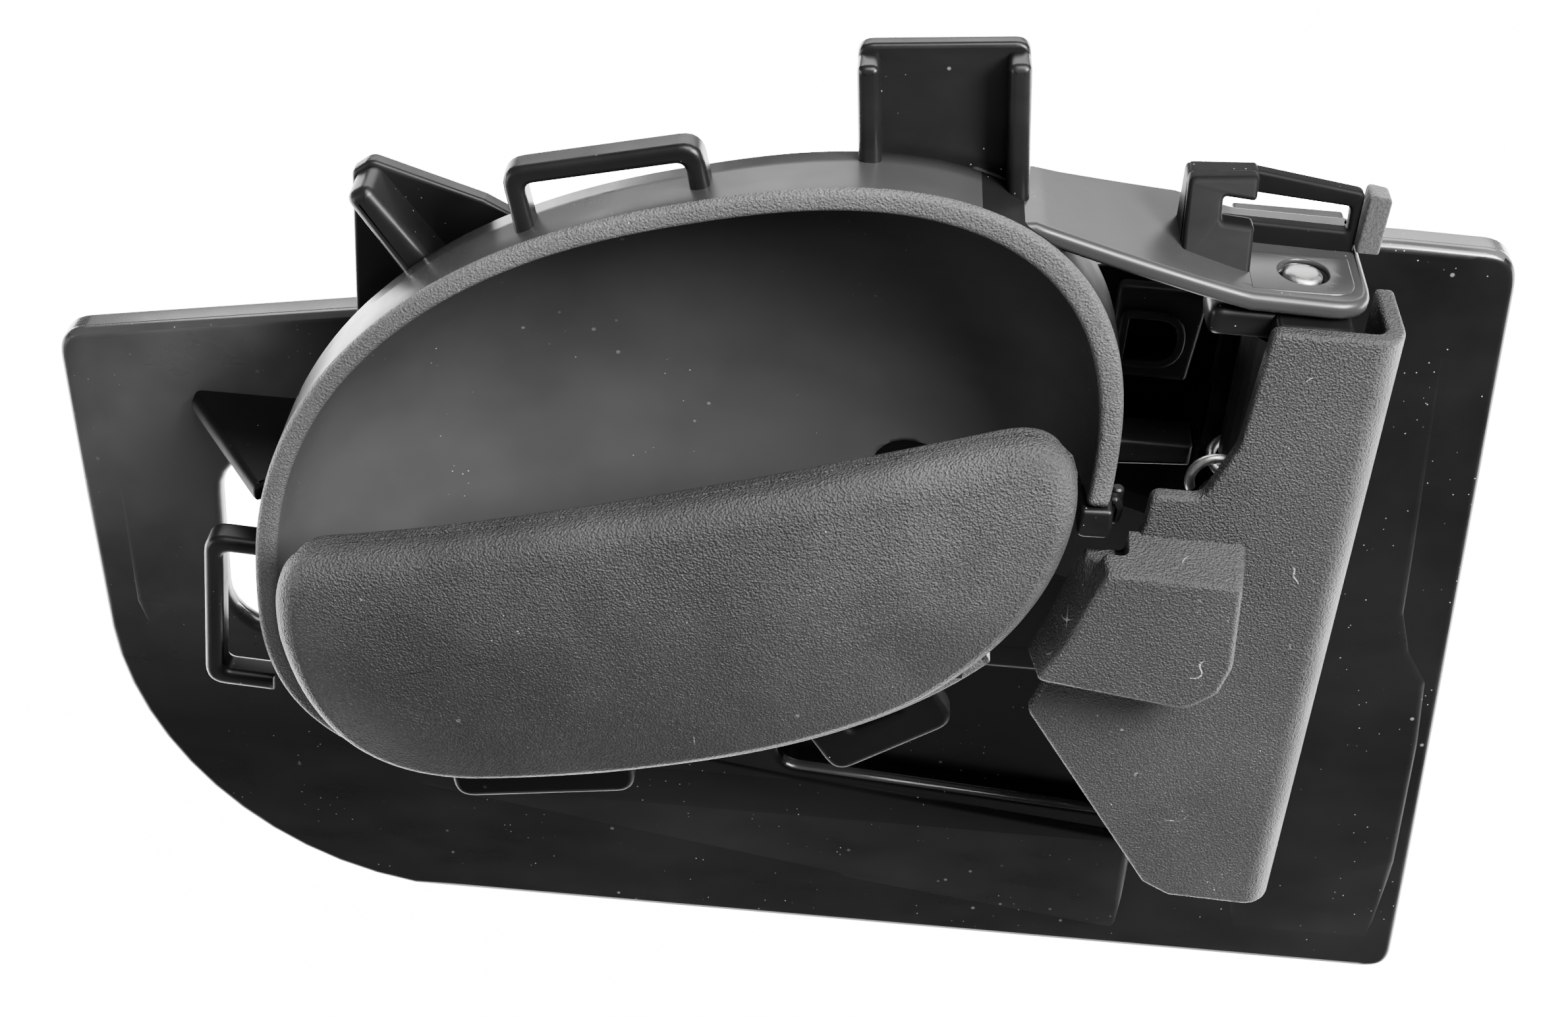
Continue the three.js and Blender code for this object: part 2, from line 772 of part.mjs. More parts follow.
function pinRetainingRing() {
  const thickness = 0.8;
  const topZ = lowerBracketUnderZ - fitGap;
  const neck = pivot.pinRadius - 0.4;
  const mouth = 1.2;
  return rodZ(pivot.x, pivot.y, pivot.pinRadius + 2.2, topZ - thickness, topZ)
    .subtract(rodZ(pivot.x, pivot.y, neck + fitGap, topZ - 2, topZ + 1))
    .subtract(block(pivot.x - mouth, pivot.x + mouth, pivot.y - 6, pivot.y, topZ - 2, topZ + 1));
}

const bushInner = pivot.pinRadius + fitGap;
const bushOuter = bushInner + bush.wall;
const hubBore = bushOuter + fitGap;

function pivotBush(lowZ) {
  return rodZ(pivot.x, pivot.y, bushOuter, lowZ, lowZ + bush.length).subtract(
    rodZ(pivot.x, pivot.y, bushInner, lowZ - 1, lowZ + bush.length + 1),
  );
}

const washerTopZ = leverHub.lowZ - fitGap;
const washerLowZ = lockKnuckle.lowZ + lockKnuckle.thickness + fitGap;

function thrustWasher() {
  return rodZ(pivot.x, pivot.y, leverHub.radius, washerLowZ, washerTopZ).subtract(
    pinHole(washerLowZ - 1, washerTopZ + 1),
  );
}

// ---------------------------------------------------------------- springs and stops

const springMidZ = (leverHub.springLowZ + leverHub.springTopZ) / 2;
const springPitch = 2 * spring.wireRadius + 0.12;
const springHeight = spring.turns * springPitch;
const springStartZ = springMidZ - springHeight / 2;

class CoilCurve extends THREE.Curve {
  getPoint(t) {
    const leg = 0.12;
    const startX = pivot.x + spring.coilRadius;
    if (t < leg) {
      const back = spring.legLength * (1 - t / leg);
      return new THREE.Vector3(startX, pivot.y + back, springStartZ);
    }
    const along = (t - leg) / (1 - leg);
    const angle = -2 * Math.PI * spring.turns * along;
    return new THREE.Vector3(
      pivot.x + spring.coilRadius * Math.cos(angle),
      pivot.y + spring.coilRadius * Math.sin(angle),
      springStartZ + springHeight * along,
    );
  }
}

function handleReturnSpring() {
  return wireAlong(new CoilCurve(), spring.wireRadius, 110, 3);
}

function handleStopBumper() {
  const rearY = plate.faceY - fitGap;
  const { x, z, radius, height } = handleBumper;
  return rodY(x, z, radius, rearY - height, rearY, 20);
}

function lockStopBumper() {
  const frontY = lockSheet.sideRearY + fitGap;
  const rearY = plate.faceY - fitGap;
  const lowX = lockSheet.sideX - lockSheet.thickness / 2 - lockBumper.width / 2;
  return block(lowX, lowX + lockBumper.width, frontY, rearY, lockBumper.lowZ, lockBumper.highZ);
}

function lockDetentSpring() {
  const tipX = pivot.x + lockKnuckle.radius + fitGap;
  const leafX = tipX + detent.standOff;
  const thickness = detent.leafThickness;
  const lowZ = lockKnuckle.lowZ + (lockKnuckle.thickness - detent.leafHeight) / 2;
  const rearY = plate.faceY - fitGap;
  const bendY = rearY - detent.bendDepth;
  const leaf = outline([
    [leafX, rearY],
    [leafX, bendY],
    [tipX, pivot.y + 1],
    [leafX - 0.4, pivot.y - 2],
    [leafX - 0.4 + thickness, pivot.y - 2],
    [tipX + thickness, pivot.y + 1],
    [leafX + thickness, bendY - thickness],
    [leafX + thickness, rearY - thickness],
    [leafX + detent.footWidth, rearY - thickness],
    [leafX + detent.footWidth, rearY],
  ]);
  return slabZ(leaf, lowZ, lowZ + detent.leafHeight);
}

// ---------------------------------------------------------------- the pull lever

const armPath = [
  [-3, 3.4],
  [-11, 7.6],
  [-20, 11.2],
  [-26.4, 11.6],
  [-30, 8],
  [-31.2, 0],
  [-31.2, grip.rearY - pivot.y - 1],
];

function ribbon(points, thickness, steps) {
  const curve = new THREE.CatmullRomCurve3(points.map(([x, y]) => new THREE.Vector3(x, y, 0)));
  const near = [];
  const far = [];
  for (let i = 0; i <= steps; i += 1) {
    const point = curve.getPoint(i / steps);
    const along = curve.getTangent(i / steps);
    near.push(new THREE.Vector2(point.x - along.y * (thickness / 2), point.y + along.x * (thickness / 2)));
    far.push(new THREE.Vector2(point.x + along.y * (thickness / 2), point.y - along.x * (thickness / 2)));
  }
  return new THREE.Shape([...near, ...far.reverse()]);
}

function gripOutline() {
  const shape = new THREE.Shape();
  shape.moveTo(-47.5, 25.4);
  shape.bezierCurveTo(-30, 28.5, -5, 36.5, 20.8, 45.8);
  shape.bezierCurveTo(26.5, 47.8, 29.4, 45, 29.5, 39);
  shape.bezierCurveTo(29.4, 30, 25.5, 21.5, 16.7, 13.6);
  shape.bezierCurveTo(5, 4.4, -16, -1.4, -31.7, -3.2);
  shape.bezierCurveTo(-42, -4, -50, 0.5, -52.6, 14);
  shape.bezierCurveTo(-53.4, 20.5, -52.4, 24.6, -47.5, 25.4);
  return shape;
}

// Where the cable pulls on the lever. At rest the crank leans away from the pull, so that half of
// the travel lies on each side of the straight line behind the pin.
function crankEndPoint() {
  const angle = THREE.MathUtils.degToRad(90 - leverCrank.restAngle);
  return new THREE.Vector2(
    pivot.x + leverCrank.length * Math.cos(angle),
    pivot.y + leverCrank.length * Math.sin(angle),
  );
}

function pullLever() {
  const arm = slabZ(ribbon(armPath, leverArm.thickness, 26), leverArm.bottomZ, leverArm.topZ)
    .translate([pivot.x, pivot.y, 0]);
  const hub = (lowZ, highZ) => rodZ(pivot.x, pivot.y, leverHub.radius, lowZ, highZ, 28);
  const webNearY = pivot.y + leverWeb.offset;
  const webFarY = webNearY + leverWeb.thickness;
  const web = block(
    pivot.x - leverWeb.halfWidth,
    pivot.x + leverWeb.halfWidth - 1,
    webNearY,
    webFarY,
    leverArm.bottomZ,
    leverHub.topZ,
  );
  const bridge = (lowZ, highZ) =>
    block(pivot.x - 3.4, pivot.x + 3.4, pivot.y + 2.6, webFarY - 0.5, lowZ, highZ);
  const crankTopZ = leverCrank.lowZ + leverCrank.thickness;
  const crankEnd = crankEndPoint();
  const crank = block(
    -leverCrank.width / 2,
    leverCrank.width / 2,
    leverHub.radius - 1,
    leverCrank.length,
    leverCrank.lowZ,
    crankTopZ,
  )
    .rotate([0, 0, -leverCrank.restAngle])
    .translate([pivot.x, pivot.y, 0])
    .add(rodZ(crankEnd.x, crankEnd.y, leverCrank.width / 2 + 1, leverCrank.lowZ, crankTopZ));
  const swivelHole = rodZ(
    crankEnd.x,
    crankEnd.y,
    leverCrank.swivelRadius + fitGap,
    leverCrank.lowZ - 1,
    crankTopZ + 1,
  );
  const core = roundedSlabY(
    insetOutline(gripOutline(), 1),
    grip.splitY + fitGap / 2,
    grip.rearY,
    0.8,
    7,
  );
  return joined(
    arm,
    hub(leverHub.lowZ, leverHub.springLowZ),
    hub(leverHub.springTopZ, leverHub.topZ),
    web,
    bridge(leverArm.bottomZ, leverHub.springLowZ),
    bridge(leverHub.springTopZ, leverHub.topZ),
    crank,
    core,
  )
    .subtract(swivelHole)
    .subtract(rodZ(pivot.x, pivot.y, hubBore, leverHub.lowZ - 1, leverHub.topZ + 1));
}

function gripShell() {
  return roundedSlabY(gripOutline(), grip.frontY, grip.splitY - fitGap / 2, grip.edgeRadius, 7);
}

function cableSwivel() {
  const lowZ = leverCrank.lowZ - 2;
  const highZ = leverCrank.lowZ + leverCrank.thickness + 2;
  const { x, y } = crankEndPoint();
  const halfSlot = 1;
  const flange = 1.7;
  return rodZ(x, y, leverCrank.swivelRadius, lowZ, highZ)
    .add(rodZ(x, y, leverCrank.swivelRadius + 1, lowZ, lowZ + flange))
    .subtract(block(x, x + 9, y - halfSlot, y + halfSlot, highZ - 1.6, highZ + 1));
}

function cableAnchorClip() {
  const { leftX, rightX, halfHeight, seatRadius, mouth, lipReach } = anchorClip;
  const middleZ = leverCrank.lowZ + leverCrank.thickness / 2;
  const rearFace = plate.faceY + plate.wall + fitGap;
  const seatY = crankEndPoint().y;
  const tipY = seatY + lipReach;
  const seat = new THREE.CylinderGeometry(seatRadius, seatRadius, 4 * (rightX - leftX), 20);
  seat.rotateZ(Math.PI / 2);
  seat.translate(leftX, seatY, middleZ);
  return block(leftX, rightX, rearFace, tipY, middleZ - halfHeight, middleZ + halfHeight)
    .subtract(solidOf(seat))
    .subtract(block(leftX - 1, rightX + 1, seatY, tipY + 1, middleZ - mouth, middleZ + mouth));
}

// ---------------------------------------------------------------- the lock lever

function lockLever() {
  const sheet = lockSheet;
  const rearY = sheet.frontY + sheet.thickness;
  const face = roundedOutline([
    [sheet.stemLeftX, sheet.topZ, 0.8],
    [sheet.stemLeftX, sheet.stemShoulderZ, 1],
    [sheet.stemLeftX - 3, sheet.ledgeZ, 1],
    [sheet.ledgeLeftX, sheet.ledgeZ, 1],
    [sheet.wideTopX, sheet.wideTopZ, 0],
    [sheet.wideLeftX, sheet.wideZ, 1.5],
    [sheet.bottomLeftX, sheet.bottomZ, 2.5],
    [sheet.sideX - sheet.foldRadius, sheet.bottomZ, 0],
    [sheet.sideX - sheet.foldRadius, sheet.topZ, 0],
  ]);
  const bend = sheet.sideX - sheet.foldRadius;
  const fold = new THREE.Shape();
  fold.moveTo(bend - 1, sheet.frontY);
  fold.lineTo(bend, sheet.frontY);
  fold.absarc(bend, sheet.frontY + sheet.foldRadius, sheet.foldRadius, -Math.PI / 2, 0);
  fold.lineTo(sheet.sideX, sheet.sideRearY);
  fold.lineTo(sheet.sideX - sheet.thickness, sheet.sideRearY);
  fold.lineTo(sheet.sideX - sheet.thickness, sheet.frontY + sheet.foldRadius);
  fold.lineTo(bend, rearY);
  fold.lineTo(bend - 1, rearY);
  const knuckle = (lowZ, highZ) =>
    rodZ(pivot.x, pivot.y, lockKnuckle.radius, lowZ, highZ, 28).add(
      block(
        pivot.x - lockKnuckle.width / 2,
        pivot.x + lockKnuckle.width / 2,
        rearY - 0.5,
        pivot.y,
        lowZ,
        highZ,
      ),
    );
  const earFrontY = pivot.y - lockEar.frontReach;
  const earRearY = pivot.y + lockEar.rearReach;
  const ear = slabZ(
    roundedOutline([
      [pivot.x - lockEar.leftReach, earFrontY, 3],
      [sheet.stemLeftX + 0.6, earFrontY, 0],
      [sheet.stemLeftX + 0.6, rearY - 0.5, 0],
      [pivot.x + lockEar.rightReach, rearY - 0.5, 0],
      [pivot.x + lockEar.rightReach, earRearY, 3],
      [pivot.x - lockEar.leftReach, earRearY, 3],
    ]),
    lockEar.topZ - lockEar.thickness,
    lockEar.topZ,
  );
  const crankEndY = pivot.y + lockCrank.length;
  const lowTopZ = lockKnuckle.lowZ + lockKnuckle.thickness;
  const crank = block(
    pivot.x - lockCrank.width / 2,
    pivot.x + lockCrank.width / 2,
    pivot.y,
    crankEndY,
    lockKnuckle.lowZ,
    lowTopZ,
  ).add(rodZ(pivot.x, crankEndY, lockCrank.width / 2 + 1, lockKnuckle.lowZ, lowTopZ));
  return joined(
    slabY(face, sheet.frontY, rearY, 4),
    slabZ(fold, sheet.bottomZ, sheet.topZ, 6),
    ear,
    knuckle(lockKnuckle.lowZ, lowTopZ),
    crank,
  )
    .subtract(pinHole(lockKnuckle.lowZ - 1, lockEar.topZ + 1))
    .subtract(
      rodZ(
        pivot.x,
        crankEndY,
        lockCrank.swivelRadius + fitGap,
        lockKnuckle.lowZ - 1,
        lowTopZ + 1,
      ),
    );
}

function lockPadBlock() {
  const pad = lockPad;
  const sheet = lockSheet;
  const shape = new THREE.Shape();
  shape.moveTo(pad.topLeftX, pad.topZ);
  shape.lineTo(pad.rightX - 0.8, pad.topZ);
  shape.lineTo(pad.rightX, pad.topZ - 0.8);
  shape.lineTo(pad.rightX, pad.chamferZ + 6);
  shape.quadraticCurveTo(pad.rightX - 0.4, pad.chamferZ + 1.6, pad.chamferX, pad.chamferZ);
  shape.lineTo(pad.bottomLeftX + 1, pad.bottomLeftZ - 0.6);
  shape.lineTo(pad.bottomLeftX, pad.bottomLeftZ + 0.2);
  const middleX = (pad.topLeftX + pad.bottomLeftX) / 2;
  const middleZ = (pad.topZ + pad.bottomLeftZ) / 2;
  shape.quadraticCurveTo(middleX + 0.9, middleZ - 0.5, pad.topLeftX, pad.topZ);
  const whole = roundedSlabY(shape, pad.frontY, pad.rearY, pad.edge, 5);
  const sheetSpace = outline([
    [sheet.wideTopX + 1 - fitGap, sheet.topZ],
    [sheet.wideTopX - fitGap, sheet.wideTopZ],
    [sheet.wideLeftX - fitGap, sheet.wideZ],
    [sheet.sideX, sheet.wideZ],
    [sheet.sideX, sheet.topZ],
  ]);
  return whole.subtract(slabY(sheetSpace, sheet.frontY - fitGap, sheet.frontY + 8));
}

function lockRodClip() {
  const { height, halfWidth, rodRadius } = rodClip;
  const { x } = pivot;
  const y = pivot.y + lockCrank.length;
  const seatZ = lockKnuckle.lowZ + lockKnuckle.thickness + fitGap;
  const rodHole = new THREE.CylinderGeometry(rodRadius, rodRadius, 4 * halfWidth, 16);
  rodHole.rotateZ(Math.PI / 2);
  rodHole.translate(x, y, seatZ + height - rodRadius);
  return rodZ(x, y, lockCrank.swivelRadius, lockKnuckle.lowZ, seatZ + 1)
    .add(block(x - halfWidth, x + halfWidth, y - halfWidth, y + halfWidth, seatZ, seatZ + height))
    .subtract(solidOf(rodHole));
}

// ---------------------------------------------------------------- the assembly

const handle = new THREE.Group();

const housing = new THREE.Group();
housing.add(meshOf("back_plate", backPlate(), glossBlack));
housing.add(meshOf("finger_cup", fingerCup(), grainBlack));
housing.add(meshOf("upper_pivot_lug", upperLug(), glossBlack));
housing.add(meshOf("lower_pivot_bracket", lowerPivotBracket(), glossBlack));
housing.add(meshOf("top_tab", topTab(), glossBlack));
housing.add(meshOf("corner_bracket", cornerBracket(), glossBlack));
housing.add(meshOf("side_gusset", sideGusset(), glossBlack));
housing.add(meshOf("slotted_clip_box", slottedClipBox(), glossBlack));
housing.add(meshOf("clip_box_pad", clipBoxPad(), felt));
housing.add(meshOf("rim_end_clip", rimEndClip(), glossBlack));
loops.forEach((place) => {
  housing.add(meshOf(place.name, trimLoop(place), glossBlack));
});
housing.add(meshOf("pivot_pin", pivotPin(), pinSteel));
housing.add(meshOf("pin_retaining_ring", pinRetainingRing(), springSteel));
housing.add(meshOf("handle_return_spring", handleReturnSpring(), springSteel));
housing.add(meshOf("handle_stop_bumper", handleStopBumper(), rubber));
housing.add(meshOf("lock_stop_bumper", lockStopBumper(), rubber));
housing.add(meshOf("lock_detent_spring", lockDetentSpring(), springSteel));
housing.add(meshOf("cable_anchor_clip", cableAnchorClip(), naturalPlastic));
housing.add(meshOf("thrust_washer", thrustWasher(), naturalPlastic));
handle.add(housing);

const pull = new THREE.Group();
pull.add(meshOf("pull_lever", pullLever(), grainBlack));
pull.add(meshOf("grip_shell", gripShell(), grainBlack));
pull.add(meshOf("pivot_bush_upper", pivotBush(leverHub.topZ - bush.length), naturalPlastic));
pull.add(meshOf("pivot_bush_lower", pivotBush(leverHub.lowZ), naturalPlastic));
pull.add(meshOf("cable_swivel", cableSwivel(), pinSteel));
handle.add(pull);

const lock = new THREE.Group();
lock.add(meshOf("lock_lever", lockLever(), grainBlack));
lock.add(meshOf("lock_pad", lockPadBlock(), grainBlack));
lock.add(meshOf("lock_rod_clip", lockRodClip(), naturalPlastic));
handle.add(lock);

export default handle;
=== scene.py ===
import math

import bmesh
import bpy
from mathutils import Matrix, Vector


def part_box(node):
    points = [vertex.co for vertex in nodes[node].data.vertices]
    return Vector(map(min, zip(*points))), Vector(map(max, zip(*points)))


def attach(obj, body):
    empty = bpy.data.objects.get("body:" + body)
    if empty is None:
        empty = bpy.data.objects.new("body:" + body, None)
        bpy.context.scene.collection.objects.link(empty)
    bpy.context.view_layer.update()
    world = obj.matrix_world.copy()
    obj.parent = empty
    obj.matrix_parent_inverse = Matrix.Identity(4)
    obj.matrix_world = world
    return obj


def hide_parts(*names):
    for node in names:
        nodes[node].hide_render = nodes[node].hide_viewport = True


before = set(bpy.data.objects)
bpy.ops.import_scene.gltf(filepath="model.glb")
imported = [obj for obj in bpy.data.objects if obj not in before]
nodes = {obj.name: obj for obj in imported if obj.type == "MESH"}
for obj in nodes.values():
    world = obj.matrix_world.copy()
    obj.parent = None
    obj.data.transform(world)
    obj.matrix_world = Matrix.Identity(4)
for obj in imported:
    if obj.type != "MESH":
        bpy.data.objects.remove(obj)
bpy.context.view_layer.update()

# Sizes are in millimetres and become metres in the helpers. +X is right, -Y faces the occupant, +Z is up.
MM = 0.001
# The axis that both levers turn about.
PIN_X, PIN_Y = 50.4, -23


def box_mm(node):
    """Lowest and highest corner of a CAD node, in millimetres."""
    low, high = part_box(node)
    return low / MM, high / MM


# ------------------------------------------------------------------ outlines


def rounded(corners, steps=6):
    """A closed outline from [x, y, radius] corners."""
    points = []
    count = len(corners)
    for i, (x, y, radius) in enumerate(corners):
        corner = Vector((x, y))
        before = Vector(corners[i - 1][:2]) - corner
        after = Vector(corners[(i + 1) % count][:2]) - corner
        if radius <= 0:
            points.append((x, y))
            continue
        half = before.angle(after) / 2
        reach = min(radius / math.tan(half), 0.48 * before.length, 0.48 * after.length)
        start = corner + before.normalized() * reach
        end = corner + after.normalized() * reach
        for k in range(steps + 1):
            t = k / steps
            p = start * (1 - t) ** 2 + corner * 2 * t * (1 - t) + end * t**2
            points.append((p.x, p.y))
    return points


def bezier(start, *pieces, steps=14):
    """Points along cubic pieces, each (control, control, end), without the last point of a closed path."""
    points = [start]
    here = Vector(start)
    for first, second, end in pieces:
        a, b, c = Vector(first), Vector(second), Vector(end)
        for k in range(1, steps + 1):
            t = k / steps
            p = here * (1 - t) ** 3 + a * 3 * t * (1 - t) ** 2 + b * 3 * t**2 * (1 - t) + c * t**3
            points.append((p.x, p.y))
        here = c
    if (Vector(points[0]) - Vector(points[-1])).length < 1e-6:
        points.pop()
    return points


def circle(x, y, radius, steps=40):
    """A full circle round x, y."""
    return [
        (x + radius * math.cos(2 * math.pi * k / steps), y + radius * math.sin(2 * math.pi * k / steps))
        for k in range(steps)
    ]


def inset(points, distance, lift=0.0):
    """The outline moved inward by a distance, and by more where it faces up when there is a lift."""
    count = len(points)
    area = sum(
        points[i][0] * points[(i + 1) % count][1] - points[(i + 1) % count][0] * points[i][1]
        for i in range(count)
    )
    side = 1 if area > 0 else -1
    moved = []
    for i in range(count):
        here = Vector(points[i])
        first = (here - Vector(points[i - 1])).normalized()
        second = (Vector(points[(i + 1) % count]) - here).normalized()
        normal = Vector((-(first.y + second.y), first.x + second.x)).normalized()
        spread = max(normal.dot(Vector((-first.y, first.x))), 0.6)
        share = 1 - lift * side * normal.y
        p = here + normal * (side * distance * share / spread)
        moved.append((p.x, p.y))
    return moved


# ------------------------------------------------------------------ materials


class Nodes:
    """A short way to build a material's node tree."""

    def __init__(self, name):
        self.material = bpy.data.materials.new(name)
        self.material.use_nodes = True
        self.tree = self.material.node_tree
        self.shader = self.tree.nodes["Principled BSDF"]
        self.place = self.tree.nodes.new("ShaderNodeTexCoord").outputs["Object"]

    def add(self, kind, **settings):
        node = self.tree.nodes.new(kind)
        for key, value in settings.items():
            setattr(node, key, value)
        return node

    def link(self, a, b):
        self.tree.links.new(a, b)

    def noise(self, scale, detail=3.0, roughness=0.5, stretch=None):
        node = self.add("ShaderNodeTexNoise")
        node.inputs["Scale"].default_value = scale
        node.inputs["Detail"].default_value = detail
        node.inputs["Roughness"].default_value = roughness
        self.link(self.stretched(stretch), node.inputs["Vector"])
        return node.outputs["Fac"]

    def stretched(self, stretch):
        if stretch is None:
            return self.place
        mapping = self.add("ShaderNodeMapping")
        mapping.inputs["Scale"].default_value = stretch
        self.link(self.place, mapping.inputs["Vector"])
        return mapping.outputs["Vector"]

    def cells(self, scale, feature="F1"):
        node = self.add("ShaderNodeTexVoronoi", feature=feature)
        node.inputs["Scale"].default_value = scale
        self.link(self.place, node.inputs["Vector"])
        return node.outputs["Distance"]

    def ramp(self, value, low, high, low_value=0.0, high_value=1.0):
        node = self.add("ShaderNodeMapRange")
        node.inputs["From Min"].default_value = low
        node.inputs["From Max"].default_value = high
        node.inputs["To Min"].default_value = low_value
        node.inputs["To Max"].default_value = high_value
        self.link(value, node.inputs["Value"])
        return node.outputs["Result"]

    def math(self, operation, a, b):
        node = self.add("ShaderNodeMath", operation=operation)
        for socket, value in zip(node.inputs, (a, b)):
            if isinstance(value, (int, float)):
                socket.default_value = value
            else:
                self.link(value, socket)
        return node.outputs[0]

    def mix(self, factor, a, b):
        node = self.add("ShaderNodeMix", data_type="RGBA")
        self.link(factor, node.inputs["Factor"])
        for socket, value in ((node.inputs[6], a), (node.inputs[7], b)):
            if isinstance(value, tuple):
                socket.default_value = (*value, 1)
            else:
                self.link(value, socket)
        return node.outputs[2]

    def bump(self, height, strength, distance, under=None):
        node = self.add("ShaderNodeBump")
        node.inputs["Strength"].default_value = strength
        node.inputs["Distance"].default_value = distance * MM
        self.link(height, node.inputs["Height"])
        if under is not None:
            self.link(under, node.inputs["Normal"])
        return node.outputs["Normal"]

    def set(self, socket, value):
        if isinstance(value, (int, float, tuple)):
            self.shader.inputs[socket].default_value = (*value, 1) if isinstance(value, tuple) else value
        else:
            self.link(value, self.shader.inputs[socket])


def grey(value):
    return (value, value, value)


def dusted(n, base, dark, light, patch_scale, dust, lint=0.0):
    """Base colour with soft darker patches, pale specks and flecks of dust, and a few curled fibres.

    More dust or lint widens the places where the specks or the fibres show."""
    patches = n.ramp(n.noise(patch_scale, 4), 0.42, 0.66)
    colour = n.mix(patches, dark, base)
    specks = n.ramp(n.cells(900), 0.085, 0.05)
    speck_where = n.ramp(n.noise(120, 2), 0.62 - dust, 0.70 - dust)
    flecks = n.ramp(n.cells(330), 0.10, 0.05)
    fleck_where = n.ramp(n.noise(70, 2), 0.66 - dust, 0.74 - dust)
    strand = n.ramp(n.math("ABSOLUTE", n.math("SUBTRACT", n.noise(420, 0), 0.5), 0.0), 0.020, 0.006)
    strand_where = n.ramp(n.noise(210, 1), 0.80 - lint, 0.82 - lint)
    small = n.math("MULTIPLY", specks, speck_where)
    large = n.math("MULTIPLY", n.math("MULTIPLY", flecks, fleck_where), 0.5)
    fibre = n.math("MULTIPLY", strand, strand_where)
    return n.mix(n.math("MAXIMUM", n.math("MAXIMUM", small, large), fibre), colour, light)


def scaled(n, colour, share):
    """The colour multiplied by a share."""
    scale = n.add("ShaderNodeVectorMath", operation="SCALE")
    n.link(colour, scale.inputs["Vector"])
    n.link(share, scale.inputs["Scale"])
    return scale.outputs["Vector"]


def place_along(n, axis):
    """A point's place along an axis of the part, in metres."""
    split = n.add("ShaderNodeSeparateXYZ")
    n.link(n.place, split.inputs["Vector"])
    return split.outputs[axis]


def painted_light_by_height(n, colour, low, high, low_share, high_share):
    """The colour times low_share up to the height low, changing to high_share at the height high: painted
    shade and painted light that change with height.
    """
    return scaled(n, colour, n.ramp(place_along(n, "Z"), low * MM, high * MM, low_share, high_share))


def grain_plastic(name, base, dark, depth, dust=0.02, lint=0.0, painted_light_grade=(0, 1, 1, 1)):
    """Fine leather-like moulded grain, depth high in millimetres. grade is what graded() takes, and paints
    light and shade by height.
    """
    n = Nodes(name)
    shade = n.ramp(n.noise(5200, 1), 0.3, 0.7, 0.65, 1.35)
    plain = dusted(n, base, dark, grey(0.40), 60, dust, lint)
    n.set("Base Color", painted_light_by_height(n, scaled(n, plain, shade), *painted_light_grade))
    pebbles = n.cells(4300, "SMOOTH_F1")
    folds = n.noise(4600, 3, 0.6)
    height = n.math("ADD", n.math("MULTIPLY", pebbles, 0.9), n.math("MULTIPLY", folds, 0.9))
    n.set("Normal", n.bump(height, 0.85, depth))
    n.set("Roughness", n.ramp(n.noise(85, 4), 0.3, 0.7, 0.42, 0.58))
    n.set("Specular IOR Level", 0.32)
    return n.material


def smooth_plastic(
    name, base, dark, low_rough, high_rough, dust=0.0, shine=0.4, highlight_and_haze=0.0, painted_light_grade=(0, 1, 1, 1)
):
    """Moulded plastic with wipe marks, faint scratches and dust.

    haze is the grey of a cloudy patch at the plate's left end, partly wipe marks and partly a painted
    highlight, and grade is what graded() takes: painted light and shade by height."""
    n = Nodes(name)
    colour = dusted(n, base, dark, grey(0.30), 45, dust)
    # A lighter cloudy patch on the plate's left end: partly wipe marks, partly a painted highlight.
    if highlight_and_haze > 0:
        left = n.ramp(place_along(n, "X"), -0.045, -0.062)
        high = n.ramp(place_along(n, "Z"), -0.028, -0.004)
        clouds = n.ramp(n.noise(38, 4), 0.34, 0.62, 0.25, 1.0)
        cloudy = n.math("MULTIPLY", n.math("MULTIPLY", left, high), clouds)
        colour = n.mix(cloudy, colour, grey(highlight_and_haze))
    # grade paints light and shade by height.
    n.set("Base Color", painted_light_by_height(n, colour, *painted_light_grade))
    wipes = n.noise(70, 5, 0.6, (1.0, 1.0, 3.0))
    scratches = n.noise(700, 3, 0.5, (0.3, 1.0, 1.2))
    rough = n.ramp(wipes, 0.32, 0.68, low_rough, high_rough)
    n.set("Roughness", rough)
    waves = n.bump(n.noise(40, 2), 0.25, 0.25)
    n.set("Normal", n.bump(scratches, 0.06, 0.03, waves))
    n.set("Specular IOR Level", shine)
    return n.material


def metal(name, base, dark, low_rough, high_rough, stretch):
    """Bare metal with fine streaks."""
    n = Nodes(name)
    streaks = n.noise(1400, 4, 0.6, stretch)
    n.set("Base Color", n.mix(n.ramp(streaks, 0.3, 0.7), dark, base))
    n.set("Metallic", 1.0)
    n.set("Roughness", n.ramp(streaks, 0.25, 0.75, low_rough, high_rough))
    n.set("Normal", n.bump(streaks, 0.3, 0.04))
    return n.material


def felt_tape(name):
    """Dark, dull fibres."""
    n = Nodes(name)
    fibres = n.noise(3200, 4, 0.7)
    n.set("Base Color", n.mix(n.ramp(fibres, 0.35, 0.7), (0.008, 0.008, 0.009), (0.045, 0.045, 0.045)))
    n.set("Roughness", 0.95)
    n.set("Sheen Weight", 0.25)
    n.set("Normal", n.bump(fibres, 0.8, 0.25))
    return n.material


# The grip is painted darker towards its bottom edge and lighter towards its top, as painted shade and
# painted light.
GRIP = grain_plastic(
    "grained grip", grey(0.038), grey(0.023), 0.30, dust=0.02, lint=0.04, painted_light_grade=(2, 42, 0.35, 1.4)
)
SHEET = grain_plastic("grained lock sheet", grey(0.032), grey(0.025), 0.28, dust=0.05, lint=0.12)
RIM = grain_plastic("grained rim", grey(0.086), grey(0.062), 0.20)
